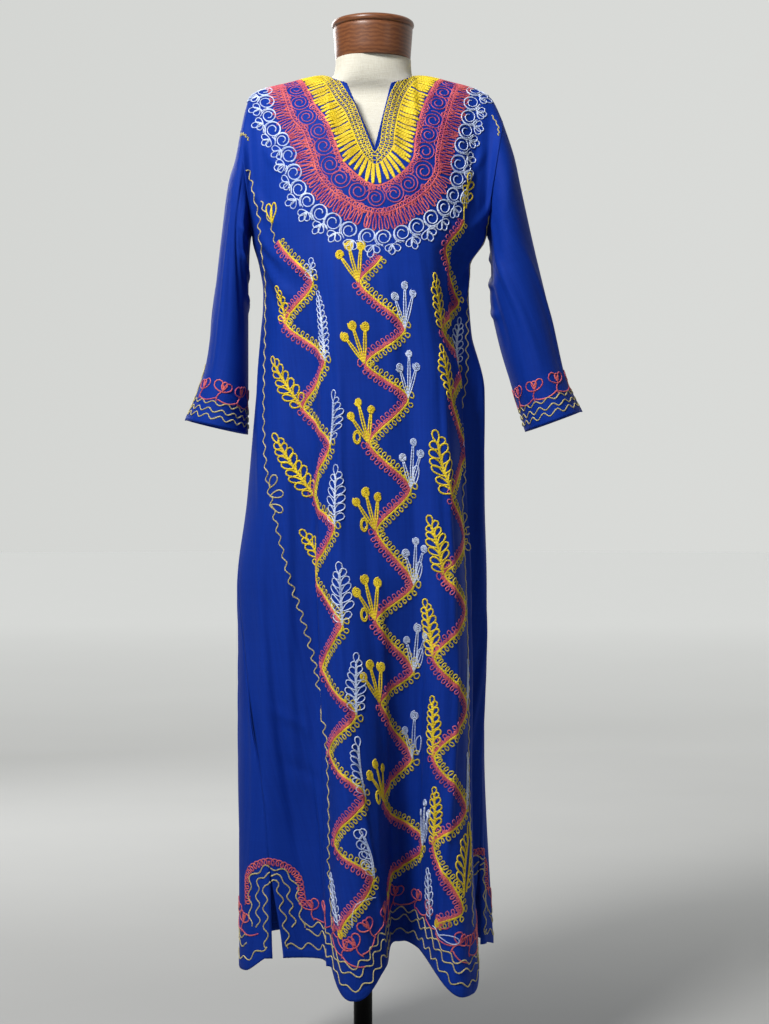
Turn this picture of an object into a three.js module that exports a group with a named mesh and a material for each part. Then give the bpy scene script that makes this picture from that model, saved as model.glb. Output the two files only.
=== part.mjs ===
// A long embroidered kaftan worn by a limbless dress form on a pole, in millimetres.
// +Z is up, the front faces -Y, +X is on the viewer's right from the front, and the origin is the middle of the
// underside of the round base. The garment is cut in four pieces: front, back and two sleeves. Each is a wall
// of cloth, worked out from level outlines, a table of hanging folds and the lines of its seams.
import * as THREE from "three";
import { mergeVertices } from "three/addons/utils/BufferGeometryUtils.js";

// Driving dimensions
const CLOTH = 2;
const SEAM_GAP = 0.3;
const ARMHOLE_GAP = 0.6;
const REST_GAP = 0.4;
const UNDERARM_Z = 1265;
const HEM_Z = 200;
const SLIT_TOP_Z = 350;
const SLIT_OPENING_DEG = 2.6;
const NECK_SHARE = 0.31;

// Numbers of rows and columns in each wall
const FRONT_COLUMNS = 48;
const BACK_COLUMNS = 28;
const SKIRT_ROWS = 15;
const YOKE_ROWS = 10;
const SLEEVE_ROWS = 11;
const CUFF_SLIT_ROWS = 2;

// Outline of the hanging cloth at each level, before folds: reach from the axis to each side.
const LEVELS = [
  { z: 150, left: 183, right: 186, front: 152, back: 150 },
  { z: 450, left: 183, right: 180, front: 148, back: 140 },
  { z: 650, left: 184, right: 186, front: 144, back: 128 },
  { z: 740, left: 188, right: 186, front: 142, back: 124 },
  { z: 870, left: 174, right: 183, front: 139, back: 118 },
  { z: 1030, left: 160, right: 182, front: 136, back: 108 },
  { z: 1120, left: 152, right: 163, front: 135, back: 99 },
  { z: 1180, left: 150, right: 159, front: 133, back: 99 },
  { z: 1220, left: 156, right: 161, front: 129, back: 102 },
  { z: 1265, left: 167, right: 186, front: 121, back: 106 },
];

// Folds of the hanging cloth. Azimuths are in degrees from the front, positive towards +X: a fold starts at
// height top and azimuth start, and reaches azimuth hem at the hem. It pushes the cloth out by push in the
// direction heading, or in where push is negative. flat is half the width of its level crest, near and far are
// the widths of its flanks on the low and high azimuth side, pinch leans the flanks out over the cloth beside
// them, and drop lowers the hem.
const FOLDS = [
  { top: 1290, start: 10, hem: 21, flat: 25, near: 10, far: 12, push: 16, heading: 8, pinch: 0, grow: 0.4, drop: 0 },
  { top: 1200, start: -31, hem: -25, flat: 0, near: 28, far: 9, push: -44, heading: -16, pinch: 7, grow: 0.5, drop: 0 },
  { top: 1050, start: -11, hem: -4, flat: 1, near: 9, far: 13, push: 30, heading: -4, pinch: 6, grow: 0.9, drop: 38 },
  { top: 760, start: 17, hem: 24, flat: 2, near: 14, far: 13, push: -90, heading: 15, pinch: 0, grow: 1.1, drop: -20 },
  { top: 1240, start: 34, hem: 48, flat: 3, near: 14, far: 12, push: 44, heading: 14, pinch: 8, grow: 0.8, drop: 40 },
  { top: 1270, start: 58, hem: 73, flat: 0, near: 9, far: 20, push: -36, heading: 58, pinch: 5, grow: 0.5, drop: 0 },
  { top: 960, start: 118, hem: 112, flat: 2, near: 15, far: 15, push: 24, heading: 112, pinch: 4, grow: 0.8, drop: 10 },
  { top: 1130, start: 146, hem: 141, flat: 0, near: 17, far: 16, push: -32, heading: 142, pinch: 3, grow: 0.7, drop: -4 },
  { top: 1040, start: 174, hem: 172, flat: 3, near: 15, far: 16, push: 32, heading: 174, pinch: 5, grow: 0.8, drop: 14 },
  { top: 1150, start: 205, hem: 207, flat: 0, near: 16, far: 19, push: -34, heading: 206, pinch: 3, grow: 0.7, drop: -4 },
  { top: 900, start: 238, hem: 243, flat: 2, near: 14, far: 16, push: 22, heading: 242, pinch: 4, grow: 0.8, drop: 8 },
  { top: 820, start: 283, hem: 296, flat: 2, near: 16, far: 13, push: 12, heading: 285, pinch: 2, grow: 0.8, drop: 22 },
];

// Azimuths of the side seams and the centre front line, from the underarm to the hem.
const SEAMS = [
  { z: 150, left: -41, centre: 25, right: 82 },
  { z: 350, left: -47, centre: 22, right: 84 },
  { z: 610, left: -66, centre: 16.5, right: 88 },
  { z: 910, left: -86, centre: 13, right: 91 },
  { z: 1080, left: -90, centre: 11, right: 92 },
  { z: 1265, left: -90, centre: 7, right: 90 },
];

// Top edge of the cloth on each side of the centre, from the tip of the neck slit to the top of the armhole.
// share is the piece's share of the half width, and y is the front piece's own, up to the neck point.
const NECK_TIP = { x: 18, y: -101, z: 1375 };
const TOP_EDGE = {
  left: [
    { share: 0.14, x: -24, y: -70, z: 1480 },
    { share: 0.2, x: -40, y: -54, z: 1488 },
    { share: 0.26, x: -53, y: -28, z: 1499 },
    { share: 0.31, x: -60, y: 10, z: 1507 },
    { share: 0.55, x: -115, y: 10, z: 1496 },
    { share: 0.76, x: -160, y: 10, z: 1483.5 },
    { share: 0.86, x: -173, y: 10, z: 1471 },
    { share: 1.0, x: -184, y: 10, z: 1426 },
  ],
  right: [
    { share: 0.14, x: 43, y: -70, z: 1480 },
    { share: 0.2, x: 60, y: -54, z: 1488 },
    { share: 0.26, x: 74, y: -28, z: 1499 },
    { share: 0.31, x: 83, y: 10, z: 1507 },
    { share: 0.55, x: 136, y: 10, z: 1497 },
    { share: 0.76, x: 178, y: 10, z: 1484 },
    { share: 0.86, x: 194, y: 10, z: 1473 },
    { share: 1.0, x: 210, y: 10, z: 1440 },
  ],
};
// The back of the neck: shares of the half width, as above.
const BACK_NECK = {
  left: [
    { share: 0, x: 11.5, y: 78, z: 1502 },
    { share: 0.12, x: -22, y: 70, z: 1503 },
    { share: 0.22, x: -48, y: 48, z: 1505 },
    { share: 0.31, x: -60, y: 10, z: 1507 },
  ],
  right: [
    { share: 0, x: 11.5, y: 78, z: 1502 },
    { share: 0.12, x: 45, y: 70, z: 1503 },
    { share: 0.22, x: 71, y: 48, z: 1505 },
    { share: 0.31, x: 83, y: 10, z: 1507 },
  ],
};
// Creases where each sleeve folds in at the armpit: share of the half width, half width and depth.
const ARMPIT = { share: 0.88, width: 0.12, depth: 9 };
// Curve of each column from the underarm level to the top edge, which changes over the shares from start to
// start + width. up and down are how far its lower and upper control points stand from its two ends in height,
// and out how far they stand out from them. At the neck, and for the shoulder's out, they are shares of the
// whole rise or reach, and the rest are in millimetres.
const YOKE = {
  neck: { lower: { up: 0.45 }, upper: { out: 0.3, down: 0.3 } },
  shoulder: { start: 0.16, width: 0.16, upper: { out: 0.62, down: 4 } },
  armhole: { start: 0.7, width: 0.3, lower: { out: 62, up: 40 }, upper: { out: 74, down: 10 } },
};

// Sleeve sections from armhole to cuff: the outer and inner edge in the front view, and the reach in front of
// and behind them.
const SLEEVES = {
  left: [
    { outerX: -192, outerZ: 1380, innerX: -171, innerZ: 1246, front: 60, back: 58 },
    { outerX: -203, outerZ: 1340, innerX: -172, innerZ: 1215, front: 60, back: 60 },
    { outerX: -214, outerZ: 1255, innerX: -173, innerZ: 1175, front: 58, back: 62 },
    { outerX: -226, outerZ: 1150, innerX: -173, innerZ: 1110, front: 57, back: 64 },
    { outerX: -238, outerZ: 1065, innerX: -173, innerZ: 1042, front: 60, back: 68 },
    { outerX: -266, outerZ: 988, innerX: -174, innerZ: 967, front: 66, back: 74 },
  ],
  right: [
    { outerX: 227, outerZ: 1386, innerX: 191, innerZ: 1246, front: 60, back: 58 },
    { outerX: 238, outerZ: 1335, innerX: 193, innerZ: 1210, front: 61, back: 60 },
    { outerX: 258, outerZ: 1245, innerX: 192, innerZ: 1165, front: 60, back: 62 },
    { outerX: 281, outerZ: 1150, innerX: 205, innerZ: 1106, front: 60, back: 64 },
    { outerX: 302, outerZ: 1062, innerX: 223, innerZ: 1042, front: 63, back: 67 },
    { outerX: 328, outerZ: 1001, innerX: 245, innerZ: 971, front: 68, back: 72 },
  ],
};

// Middle of the sleeves from front to back, and how far the two edges of each cuff slit stand apart.
const SLEEVE_Y = 4;
const CUFF_PARTING = {
  left: { front: new THREE.Vector3(9, -4, 0), back: new THREE.Vector3(-3, 6, 0) },
  right: { front: new THREE.Vector3(-5, -4, 0), back: new THREE.Vector3(3, 6, 0) },
};

// Dress form: outline at each level, then the neck.
const FORM_POWER = 0.92;
const FORM_SIDES = 30;
const FORM = [
  { z: 850, left: 136, right: 150, front: 92, back: 90 },
  { z: 920, left: 142, right: 158, front: 98, back: 94 },
  { z: 1010, left: 126, right: 148, front: 94, back: 82 },
  { z: 1110, left: 104, right: 126, front: 88, back: 66 },
  { z: 1180, left: 118, right: 138, front: 106, back: 74 },
  { z: 1230, left: 128, right: 144, front: 112, back: 80 },
  { z: 1290, left: 134, right: 154, front: 104, back: 80 },
  { z: 1350, left: 140, right: 164, front: 88, back: 74 },
  { z: 1395, left: 150, right: 172, front: 72, back: 64 },
  { z: 1430, left: 154, right: 176, front: 58, back: 54 },
  { z: 1452, left: 150, right: 170, front: 48, back: 46 },
  { z: 1464, left: 140, right: 158, front: 42, back: 42 },
  { z: 1474, left: 118, right: 136, front: 40, back: 44 },
  { z: 1482, left: 88, right: 108, front: 42, back: 46 },
  { z: 1489, left: 66, right: 89.9, front: 46.2, back: 50 },
  { z: 1497, left: 53, right: 79.6, front: 49.2, back: 56 },
  { z: 1510, left: 44, right: 74, front: 52, back: 56 },
  { z: 1529, left: 42, right: 73, front: 53, back: 58 },
];
const NECK_X = 15;
const NECK_Y = 3;
// Turned neck cap: profile of radius and height above the neck.
const CAP_Z = 1529.3;
const CAP_PROFILE = [
  [0, 0],
  [55.5, 0],
  [56.5, 1],
  [60, 46],
  [58.5, 48],
  [61.5, 50],
  [62, 54],
  [60, 57.5],
  [52, 60],
  [30, 62],
  [0, 62.6],
];
const CAP_SIDES = 40;
// Stand
const POLE_RADIUS = 14;
const HUB_RADIUS = 24;
const HUB_HEIGHT = 46;
const HUB_CHAMFER = 4;
const BASE_RADIUS = 210;
const BASE_HEIGHT = 14;
// Rounded upper edge of the base: how far each point stands in from its rim and down from its top.
const BASE_EDGE = [
  { inset: 0, drop: 6 },
  { inset: 6, drop: 1 },
  { inset: 14, drop: 0 },
];
const FLANGE_RADIUS = 46;
const FLANGE_HEIGHT = 8;
const ROUND_SIDES = 40;
const FORM_BOTTOM_Z = FORM[0].z;

// Piecewise interpolation
const mix = (a, b, t) => a + (b - a) * t;
const clamp01 = (t) => Math.min(1, Math.max(0, t));
const smooth = (t) => t * t * (3 - 2 * t);
const radians = (degrees) => (degrees * Math.PI) / 180;

// Value of a column of a table at a key, through the rows as a monotone smooth curve.
function along(table, keyName, key, column) {
  const n = table.length;
  if (key <= table[0][keyName]) return table[0][column];
  if (key >= table[n - 1][keyName]) return table[n - 1][column];
  let i = 0;
  while (table[i + 1][keyName] < key) i++;
  const slope = (j) => {
    if (j <= 0 || j >= n - 1) return 0;
    const before = (table[j][column] - table[j - 1][column]) / (table[j][keyName] - table[j - 1][keyName]);
    const after = (table[j + 1][column] - table[j][column]) / (table[j + 1][keyName] - table[j][keyName]);
    return before * after <= 0 ? 0 : (2 * before * after) / (before + after);
  };
  const span = table[i + 1][keyName] - table[i][keyName];
  const t = (key - table[i][keyName]) / span;
  const t2 = t * t;
  const t3 = t2 * t;
  return (
    (2 * t3 - 3 * t2 + 1) * table[i][column] +
    (t3 - 2 * t2 + t) * span * slope(i) +
    (3 * t2 - 2 * t3) * table[i + 1][column] +
    (t3 - t2) * span * slope(i + 1)
  );
}

// Bell of height 1 at 0, falling to 0 at -1 and 1
const bell = (x) => (Math.abs(x) >= 1 ? 0 : Math.cos((x * Math.PI) / 2) ** 2);

// Position of an azimuth within a fold: 0 at its crest, -1 and 1 at its ends.
function placeInFold(fold, azimuth, z) {
  const t = clamp01((fold.top - z) / (fold.top - HEM_Z));
  const crest = mix(fold.start, fold.hem, t);
  let away = azimuth - crest;
  away -= 360 * Math.round(away / 360);
  const past = Math.max(0, Math.abs(away) - fold.flat);
  return { x: away < 0 ? -past / fold.near : past / fold.far, strength: t <= 0 ? 0 : t ** fold.grow };
}

// Point of the hanging cloth at an azimuth and a height
function hanging(azimuth, z) {
  const a = radians(azimuth);
  const level = (side) => along(LEVELS, "z", z, side);
  const p = new THREE.Vector3(
    Math.sin(a) * level(Math.sin(a) < 0 ? "left" : "right"),
    -Math.cos(a) * level(Math.cos(a) > 0 ? "front" : "back"),
    z,
  );
  for (const fold of FOLDS) {
    const { x, strength } = placeInFold(fold, azimuth, z);
    if (Math.abs(x) >= 1 || strength === 0) continue;
    const h = radians(fold.heading);
    const push = fold.push * strength * bell(x);
    const side = fold.pinch * strength * Math.sin(Math.PI * x);
    p.x += Math.sin(h) * push + Math.cos(h) * side;
    p.y += -Math.cos(h) * push + Math.sin(h) * side;
  }
  return p;
}

// Height of the hem at an azimuth
function hemZ(azimuth) {
  let z = HEM_Z;
  for (const fold of FOLDS) z -= fold.drop * bell(placeInFold(fold, azimuth, HEM_Z).x);
  return z;
}

// Azimuth at a share of the cloth between two azimuths, by length along the cloth at that height.
const LENGTH_STEPS = 72;
function azimuthAt(from, to, share, z) {
  const lengths = [0];
  let before = hanging(from, z);
  for (let i = 1; i <= LENGTH_STEPS; i++) {
    const p = hanging(mix(from, to, i / LENGTH_STEPS), z);
    lengths.push(lengths[i - 1] + p.distanceTo(before));
    before = p;
  }
  const wanted = share * lengths[LENGTH_STEPS];
  let i = 0;
  while (i < LENGTH_STEPS - 1 && lengths[i + 1] < wanted) i++;
  return mix(from, to, (i + (wanted - lengths[i]) / (lengths[i + 1] - lengths[i])) / LENGTH_STEPS);
}

// Azimuth of a share of the front (-1 at the left seam, 0 at the centre, 1 at the right seam), or of the
// back (-1 at the right seam, 1 at the left seam).
function azimuthOf(piece, share, z) {
  const seam = (side) => along(SEAMS, "z", z, side);
  const parting = SLIT_OPENING_DEG * smooth(clamp01((SLIT_TOP_Z - z) / (SLIT_TOP_Z - HEM_Z)));
  if (piece === "front") {
    const centre = seam("centre");
    if (share < 0) return azimuthAt(seam("left") + parting, centre, 1 + share, z);
    return azimuthAt(centre, seam("right") - parting, share, z);
  }
  return azimuthAt(seam("right") + parting, 360 + seam("left") - parting, (1 + share) / 2, z);
}

// Point of the top edge at a share of the half width
function topEdge(piece, share) {
  const side = (share < 0) === (piece === "front") ? "left" : "right";
  const s = Math.abs(share);
  const edge = TOP_EDGE[side];
  if (piece === "front") {
    if (s <= edge[0].share) {
      const t = s / edge[0].share;
      return new THREE.Vector3(
        mix(NECK_TIP.x, edge[0].x, t),
        mix(NECK_TIP.y, edge[0].y, t),
        mix(NECK_TIP.z, edge[0].z, t),
      );
    }
    const at = (column) => along(edge, "share", s, column);
    return new THREE.Vector3(at("x"), at("y"), at("z"));
  }
  const neck = BACK_NECK[side];
  const table = s <= neck[neck.length - 1].share ? neck : edge;
  const at = (column) => along(table, "share", s, column);
  return new THREE.Vector3(at("x"), at("y"), at("z"));
}

// Point between the underarm level and the top edge, t from 0 to 1
function yoke(piece, share, t) {
  const s = Math.abs(share);
  const foot = hanging(azimuthOf(piece, share, UNDERARM_Z), UNDERARM_Z);
  const top = topEdge(piece, share);
  const outwards = piece === "front" ? -1 : 1;
  const rise = top.z - foot.z;
  const reach = Math.abs(top.y - foot.y);
  const { neck, shoulder, armhole } = YOKE;
  const atArmhole = smooth(clamp01((s - armhole.start) / armhole.width));
  const overShoulder = smooth(clamp01((s - shoulder.start) / shoulder.width));
  const lowerOut = mix(0, armhole.lower.out, atArmhole);
  const lowerUp = mix(neck.lower.up * rise, armhole.lower.up, atArmhole);
  const shoulderOut = mix(shoulder.upper.out * reach, armhole.upper.out, atArmhole);
  const shoulderDown = mix(shoulder.upper.down, armhole.upper.down, atArmhole);
  const upperOut = mix(neck.upper.out * reach, shoulderOut, overShoulder);
  const upperDown = mix(neck.upper.down * rise, shoulderDown, overShoulder);
  const first = foot.clone().add(new THREE.Vector3(0, outwards * lowerOut, lowerUp));
  const last = top.clone().add(new THREE.Vector3(0, outwards * upperOut, -upperDown));
  const u = 1 - t;
  const p = new THREE.Vector3();
  p.addScaledVector(foot, u * u * u);
  p.addScaledVector(first, 3 * u * u * t);
  p.addScaledVector(last, 3 * u * t * t);
  p.addScaledVector(top, t * t * t);
  const crease = ARMPIT.depth * bell((s - ARMPIT.share) / ARMPIT.width) * Math.sin(Math.PI * t);
  p.y -= outwards * crease;
  return p;
}

// Point of a body piece: v from 0 at the hem to 1 at the underarm, and on to 2 at the top edge.
function bodyPoint(piece, share, v) {
  if (v >= 1) return yoke(piece, share, v - 1);
  const low = hemZ(azimuthOf(piece, share, HEM_Z));
  const z = mix(low, UNDERARM_Z, v);
  return hanging(azimuthOf(piece, share, z), z);
}

// Grid of outer points of a body piece, in rows from hem to top edge
function bodyGrid(piece, columns) {
  const rows = [];
  for (let r = 0; r <= SKIRT_ROWS + YOKE_ROWS; r++) {
    const v = r <= SKIRT_ROWS ? r / SKIRT_ROWS : 1 + (r - SKIRT_ROWS) / YOKE_ROWS;
    const row = [];
    for (let c = 0; c <= columns; c++) row.push(bodyPoint(piece, (2 * c) / columns - 1, v));
    rows.push(row);
  }
  return rows;
}

// Unit normals of a grid from its neighbours: across the columns, then up the rows. Rows from joinedFrom up
// meet themselves, which makes a tube.
function gridNormals(grid, joinedFrom = Infinity) {
  const last = grid[0].length - 1;
  const rows = grid.length - 1;
  return grid.map((row, r) =>
    row.map((p, c) => {
      const joined = r >= joinedFrom;
      const next = c < last ? row[c + 1] : joined ? row[1] : p;
      const before = c > 0 ? row[c - 1] : joined ? row[last - 1] : p;
      const rise = grid[Math.min(r + 1, rows)][c].clone().sub(grid[Math.max(r - 1, 0)][c]);
      return next.clone().sub(before).cross(rise).normalize();
    }),
  );
}

// Closed wall of cloth from its outer points and their normals, open along the first and last column of the
// rows below joinedFrom.
function clothWall(outer, normals, joinedFrom = Infinity) {
  const rows = outer.length;
  const columns = outer[0].length;
  const positions = [];
  const inner = outer.map((row, r) => row.map((p, c) => p.clone().addScaledVector(normals[r][c], -CLOTH)));
  for (const grid of [outer, inner]) for (const row of grid) for (const p of row) positions.push(p.x, p.y, p.z);
  const at = (layer, r, c) => (layer * rows + r) * columns + (c === columns - 1 && r >= joinedFrom ? 0 : c);
  const index = [];
  const quad = (a, b, c, d) => index.push(a, b, c, a, c, d);
  for (let r = 0; r < rows - 1; r++) {
    for (let c = 0; c < columns - 1; c++) {
      quad(at(0, r, c), at(0, r, c + 1), at(0, r + 1, c + 1), at(0, r + 1, c));
      quad(at(1, r, c), at(1, r + 1, c), at(1, r + 1, c + 1), at(1, r, c + 1));
    }
    if (r >= joinedFrom) continue;
    quad(at(0, r, 0), at(0, r + 1, 0), at(1, r + 1, 0), at(1, r, 0));
    quad(at(0, r, columns - 1), at(1, r, columns - 1), at(1, r + 1, columns - 1), at(0, r + 1, columns - 1));
  }
  for (let c = 0; c < columns - 1; c++) {
    quad(at(0, 0, c), at(1, 0, c), at(1, 0, c + 1), at(0, 0, c + 1));
    quad(at(0, rows - 1, c), at(0, rows - 1, c + 1), at(1, rows - 1, c + 1), at(1, rows - 1, c));
  }
  return indexedGeometry(positions, index);
}

// Geometry with each corner stored once
function indexedGeometry(positions, index) {
  const geometry = new THREE.BufferGeometry();
  geometry.setAttribute("position", new THREE.Float32BufferAttribute(positions, 3));
  geometry.setIndex(index);
  const merged = mergeVertices(geometry, 1e-4);
  merged.computeVertexNormals();
  return merged;
}

const TOP_ROW = SKIRT_ROWS + YOKE_ROWS;
const lastColumn = { front: FRONT_COLUMNS, back: BACK_COLUMNS };
const grids = { front: bodyGrid("front", FRONT_COLUMNS), back: bodyGrid("back", BACK_COLUMNS) };
const normals = { front: gridNormals(grids.front), back: gridNormals(grids.back) };

// Side seams: both pieces take one normal, and each gives up half of the seam gap.
for (let r = 0; r <= SKIRT_ROWS; r++) {
  for (const [frontColumn, backColumn] of [
    [0, BACK_COLUMNS],
    [FRONT_COLUMNS, 0],
  ]) {
    const shared = normals.front[r][frontColumn].clone().add(normals.back[r][backColumn]).normalize();
    for (const [piece, column] of [
      ["front", frontColumn],
      ["back", backColumn],
    ]) {
      const row = grids[piece][r];
      const inwards = row[column === 0 ? 1 : column - 1].clone().sub(row[column]);
      inwards.addScaledVector(shared, -inwards.dot(shared)).normalize();
      row[column].addScaledVector(inwards, SEAM_GAP / 2);
      normals[piece][r][column].copy(shared);
    }
  }
}

// Shoulder seams: from the neck point out, the cloth lies level across the seam, with the gap in it.
for (const piece of ["front", "back"]) {
  const row = grids[piece][TOP_ROW];
  for (let c = 0; c <= lastColumn[piece]; c++) {
    if (Math.abs((2 * c) / lastColumn[piece] - 1) < NECK_SHARE - 0.001) continue;
    const seam = row[Math.min(c + 1, lastColumn[piece])].clone().sub(row[Math.max(c - 1, 0)]);
    const up = new THREE.Vector3(-seam.z, 0, seam.x).normalize();
    normals[piece][TOP_ROW][c].copy(up.z < 0 ? up.negate() : up);
    row[c].y += (piece === "front" ? -1 : 1) * (SEAM_GAP / 2);
  }
}

// Point of a sleeve section, turn from 0 at the outer edge, round the front to the inner edge, and the back
function sectionPoint(section, turn) {
  const a = 2 * Math.PI * turn;
  const outer = (1 + Math.cos(a)) / 2;
  return new THREE.Vector3(
    mix(section.innerX, section.outerX, outer),
    SLEEVE_Y - Math.sin(a) * (Math.sin(a) > 0 ? section.front : section.back),
    mix(section.innerZ, section.outerZ, outer),
  );
}

// Armhole loop from the shoulder down the front to the underarm and up the back. The sleeve leaves the body
// halfway between the body's own direction and the way to the first section.
function armhole(side) {
  const frontColumn = side === "left" ? 0 : FRONT_COLUMNS;
  const backColumn = side === "left" ? BACK_COLUMNS : 0;
  const steps = [];
  for (let r = TOP_ROW; r >= SKIRT_ROWS; r--) steps.push(["front", r, frontColumn]);
  for (let r = SKIRT_ROWS + 1; r <= TOP_ROW; r++) steps.push(["back", r, backColumn]);
  const points = steps.map(([piece, r, c]) => grids[piece][r][c].clone());
  const middle = points.reduce((sum, p) => sum.add(p), new THREE.Vector3()).divideScalar(points.length);
  return steps.map(([piece, r, c], k) => {
    const point = points[k];
    const last = points.length - 1;
    const before = points[k === 0 ? last - 1 : k - 1];
    const tangent = points[k === last ? 1 : k + 1].clone().sub(before).normalize();
    const fromBody = point.clone().sub(grids[piece][r][c === 0 ? 1 : c - 1]).normalize();
    const toSleeve = sectionPoint(SLEEVES[side][0], k / last).sub(point).normalize();
    const underarm = r === SKIRT_ROWS;
    const across = underarm ? new THREE.Vector3(side === "left" ? -1 : 1, 0, 0) : fromBody.add(toSleeve);
    across.addScaledVector(tangent, -across.dot(tangent)).normalize();
    const normal = tangent.clone().cross(across).normalize();
    const outwards = underarm ? new THREE.Vector3(0, 0, -1) : point.clone().sub(middle);
    if (normal.dot(outwards) < 0) normal.negate();
    return { piece, r, c, point, normal, across };
  });
}

// Point on the smooth curve through a list of stations, t from 0 at the first to 1 at the last
function throughStations(stations, t) {
  const n = stations.length - 1;
  const i = Math.min(n - 1, Math.floor(t * n));
  const u = t * n - i;
  const weights = [
    (-u + 2 * u * u - u * u * u) / 2,
    (2 - 5 * u * u + 3 * u * u * u) / 2,
    (u + 4 * u * u - 3 * u * u * u) / 2,
    (-u * u + u * u * u) / 2,
  ];
  const out = new THREE.Vector3();
  weights.forEach((w, k) => out.addScaledVector(stations[Math.min(n, Math.max(0, i + k - 1))], w));
  return out;
}

// Sleeve wall from the cuff up to the armhole. Seen from outside, its columns run to the right.
function sleeve(side) {
  const loop = armhole(side);
  for (const { piece, r, c, normal } of loop) normals[piece][r][c].copy(normal);
  const underarm = loop.find(({ piece, r }) => piece === "front" && r === SKIRT_ROWS).normal;
  normals.back[SKIRT_ROWS][side === "left" ? BACK_COLUMNS : 0].copy(underarm);
  const parts = CUFF_PARTING[side];
  const rows = [];
  for (let r = 0; r <= SLEEVE_ROWS; r++) {
    const open = smooth(clamp01(1 - r / CUFF_SLIT_ROWS));
    const row = loop.map(({ point, across }, k) => {
      const start = point.clone().addScaledVector(across, ARMHOLE_GAP);
      const turn = k / (loop.length - 1);
      const stations = [start, ...SLEEVES[side].map((section) => sectionPoint(section, turn))];
      const p = throughStations(stations, 1 - r / SLEEVE_ROWS);
      if (k === 0) p.addScaledVector(parts.front, open);
      if (k === loop.length - 1) p.addScaledVector(parts.back, open);
      return p;
    });
    if (side === "right") row.reverse();
    rows.push(row);
  }
  const rowNormals = gridNormals(rows, CUFF_SLIT_ROWS);
  const rim = loop.map(({ normal }) => normal);
  if (side === "right") rim.reverse();
  rowNormals[SLEEVE_ROWS] = rim;
  return clothWall(rows, rowNormals, CUFF_SLIT_ROWS);
}

const sleeves = { left: sleeve("left"), right: sleeve("right") };

// Dress form torso: level outlines from the flat bottom to the flat top of the neck
function torsoGeometry() {
  const positions = [];
  const index = [];
  FORM.forEach((level) => {
    for (let k = 0; k < FORM_SIDES; k++) {
      const a = (2 * Math.PI * k) / FORM_SIDES;
      const s = Math.sin(a);
      const c = Math.cos(a);
      positions.push(
        Math.sign(s) * Math.abs(s) ** FORM_POWER * (s < 0 ? level.left : level.right),
        NECK_Y - Math.sign(c) * Math.abs(c) ** FORM_POWER * (c > 0 ? level.front : level.back),
        level.z,
      );
    }
  });
  const at = (r, k) => r * FORM_SIDES + (k % FORM_SIDES);
  const top = FORM.length - 1;
  for (let r = 0; r < top; r++)
    for (let k = 0; k < FORM_SIDES; k++)
      index.push(at(r, k), at(r, k + 1), at(r + 1, k + 1), at(r, k), at(r + 1, k + 1), at(r + 1, k));
  for (let k = 1; k < FORM_SIDES - 1; k++) {
    index.push(at(0, 0), at(0, k + 1), at(0, k));
    index.push(at(top, 0), at(top, k), at(top, k + 1));
  }
  return indexedGeometry(positions, index);
}

// A turned solid about Z from a profile of [radius, height], up its outside
function turned(profile, sides) {
  const points = profile.map(([radius, height]) => new THREE.Vector2(radius, height));
  const geometry = new THREE.LatheGeometry(points, sides);
  geometry.rotateX(Math.PI / 2);
  return geometry;
}

const materials = {
  cloth: new THREE.MeshStandardMaterial({ color: 0x17329a, roughness: 0.72, metalness: 0 }),
  linen: new THREE.MeshStandardMaterial({ color: 0xe6e2d2, roughness: 0.9, metalness: 0 }),
  wood: new THREE.MeshStandardMaterial({ color: 0x7a4528, roughness: 0.42, metalness: 0 }),
  iron: new THREE.MeshStandardMaterial({ color: 0x0b0b0c, roughness: 0.5, metalness: 0.6 }),
};

const group = new THREE.Group();

function add(name, geometry, material, x = 0, y = 0, z = 0) {
  const mesh = new THREE.Mesh(geometry, material);
  mesh.name = name;
  mesh.position.set(x, y, z);
  group.add(mesh);
}

add("kaftan_front", clothWall(grids.front, normals.front), materials.cloth);
add("kaftan_back", clothWall(grids.back, normals.back), materials.cloth);
add("kaftan_sleeve_left", sleeves.left, materials.cloth);
add("kaftan_sleeve_right", sleeves.right, materials.cloth);
add("form_torso", torsoGeometry(), materials.linen);
add("form_neck_cap", turned(CAP_PROFILE, CAP_SIDES), materials.wood, NECK_X, NECK_Y, CAP_Z);
add(
  "form_flange",
  turned(
    [
      [0, 0],
      [FLANGE_RADIUS, 0],
      [FLANGE_RADIUS, FLANGE_HEIGHT],
      [0, FLANGE_HEIGHT],
    ],
    ROUND_SIDES,
  ),
  materials.iron,
  0,
  0,
  FORM_BOTTOM_Z - REST_GAP - FLANGE_HEIGHT,
);
const POLE_FOOT_Z = BASE_HEIGHT + REST_GAP;
const POLE_TOP_Z = FORM_BOTTOM_Z - 2 * REST_GAP - FLANGE_HEIGHT;
add(
  "stand_pole",
  turned(
    [
      [0, 0],
      [POLE_RADIUS, 0],
      [POLE_RADIUS, POLE_TOP_Z - POLE_FOOT_Z],
      [0, POLE_TOP_Z - POLE_FOOT_Z],
    ],
    ROUND_SIDES,
  ),
  materials.iron,
  0,
  0,
  POLE_FOOT_Z,
);
add(
  "stand_hub",
  turned(
    [
      [POLE_RADIUS + REST_GAP, 0],
      [HUB_RADIUS, 0],
      [HUB_RADIUS, HUB_HEIGHT - HUB_CHAMFER],
      [HUB_RADIUS - HUB_CHAMFER, HUB_HEIGHT],
      [POLE_RADIUS + REST_GAP, HUB_HEIGHT],
      [POLE_RADIUS + REST_GAP, 0],
    ],
    ROUND_SIDES,
  ),
  materials.iron,
  0,
  0,
  BASE_HEIGHT + REST_GAP,
);
add(
  "stand_base",
  turned(
    [
      [0, 0],
      [BASE_RADIUS, 0],
      ...BASE_EDGE.map(({ inset, drop }) => [BASE_RADIUS - inset, BASE_HEIGHT - drop]),
      [0, BASE_HEIGHT],
    ],
    ROUND_SIDES,
  ),
  materials.iron,
);

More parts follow.
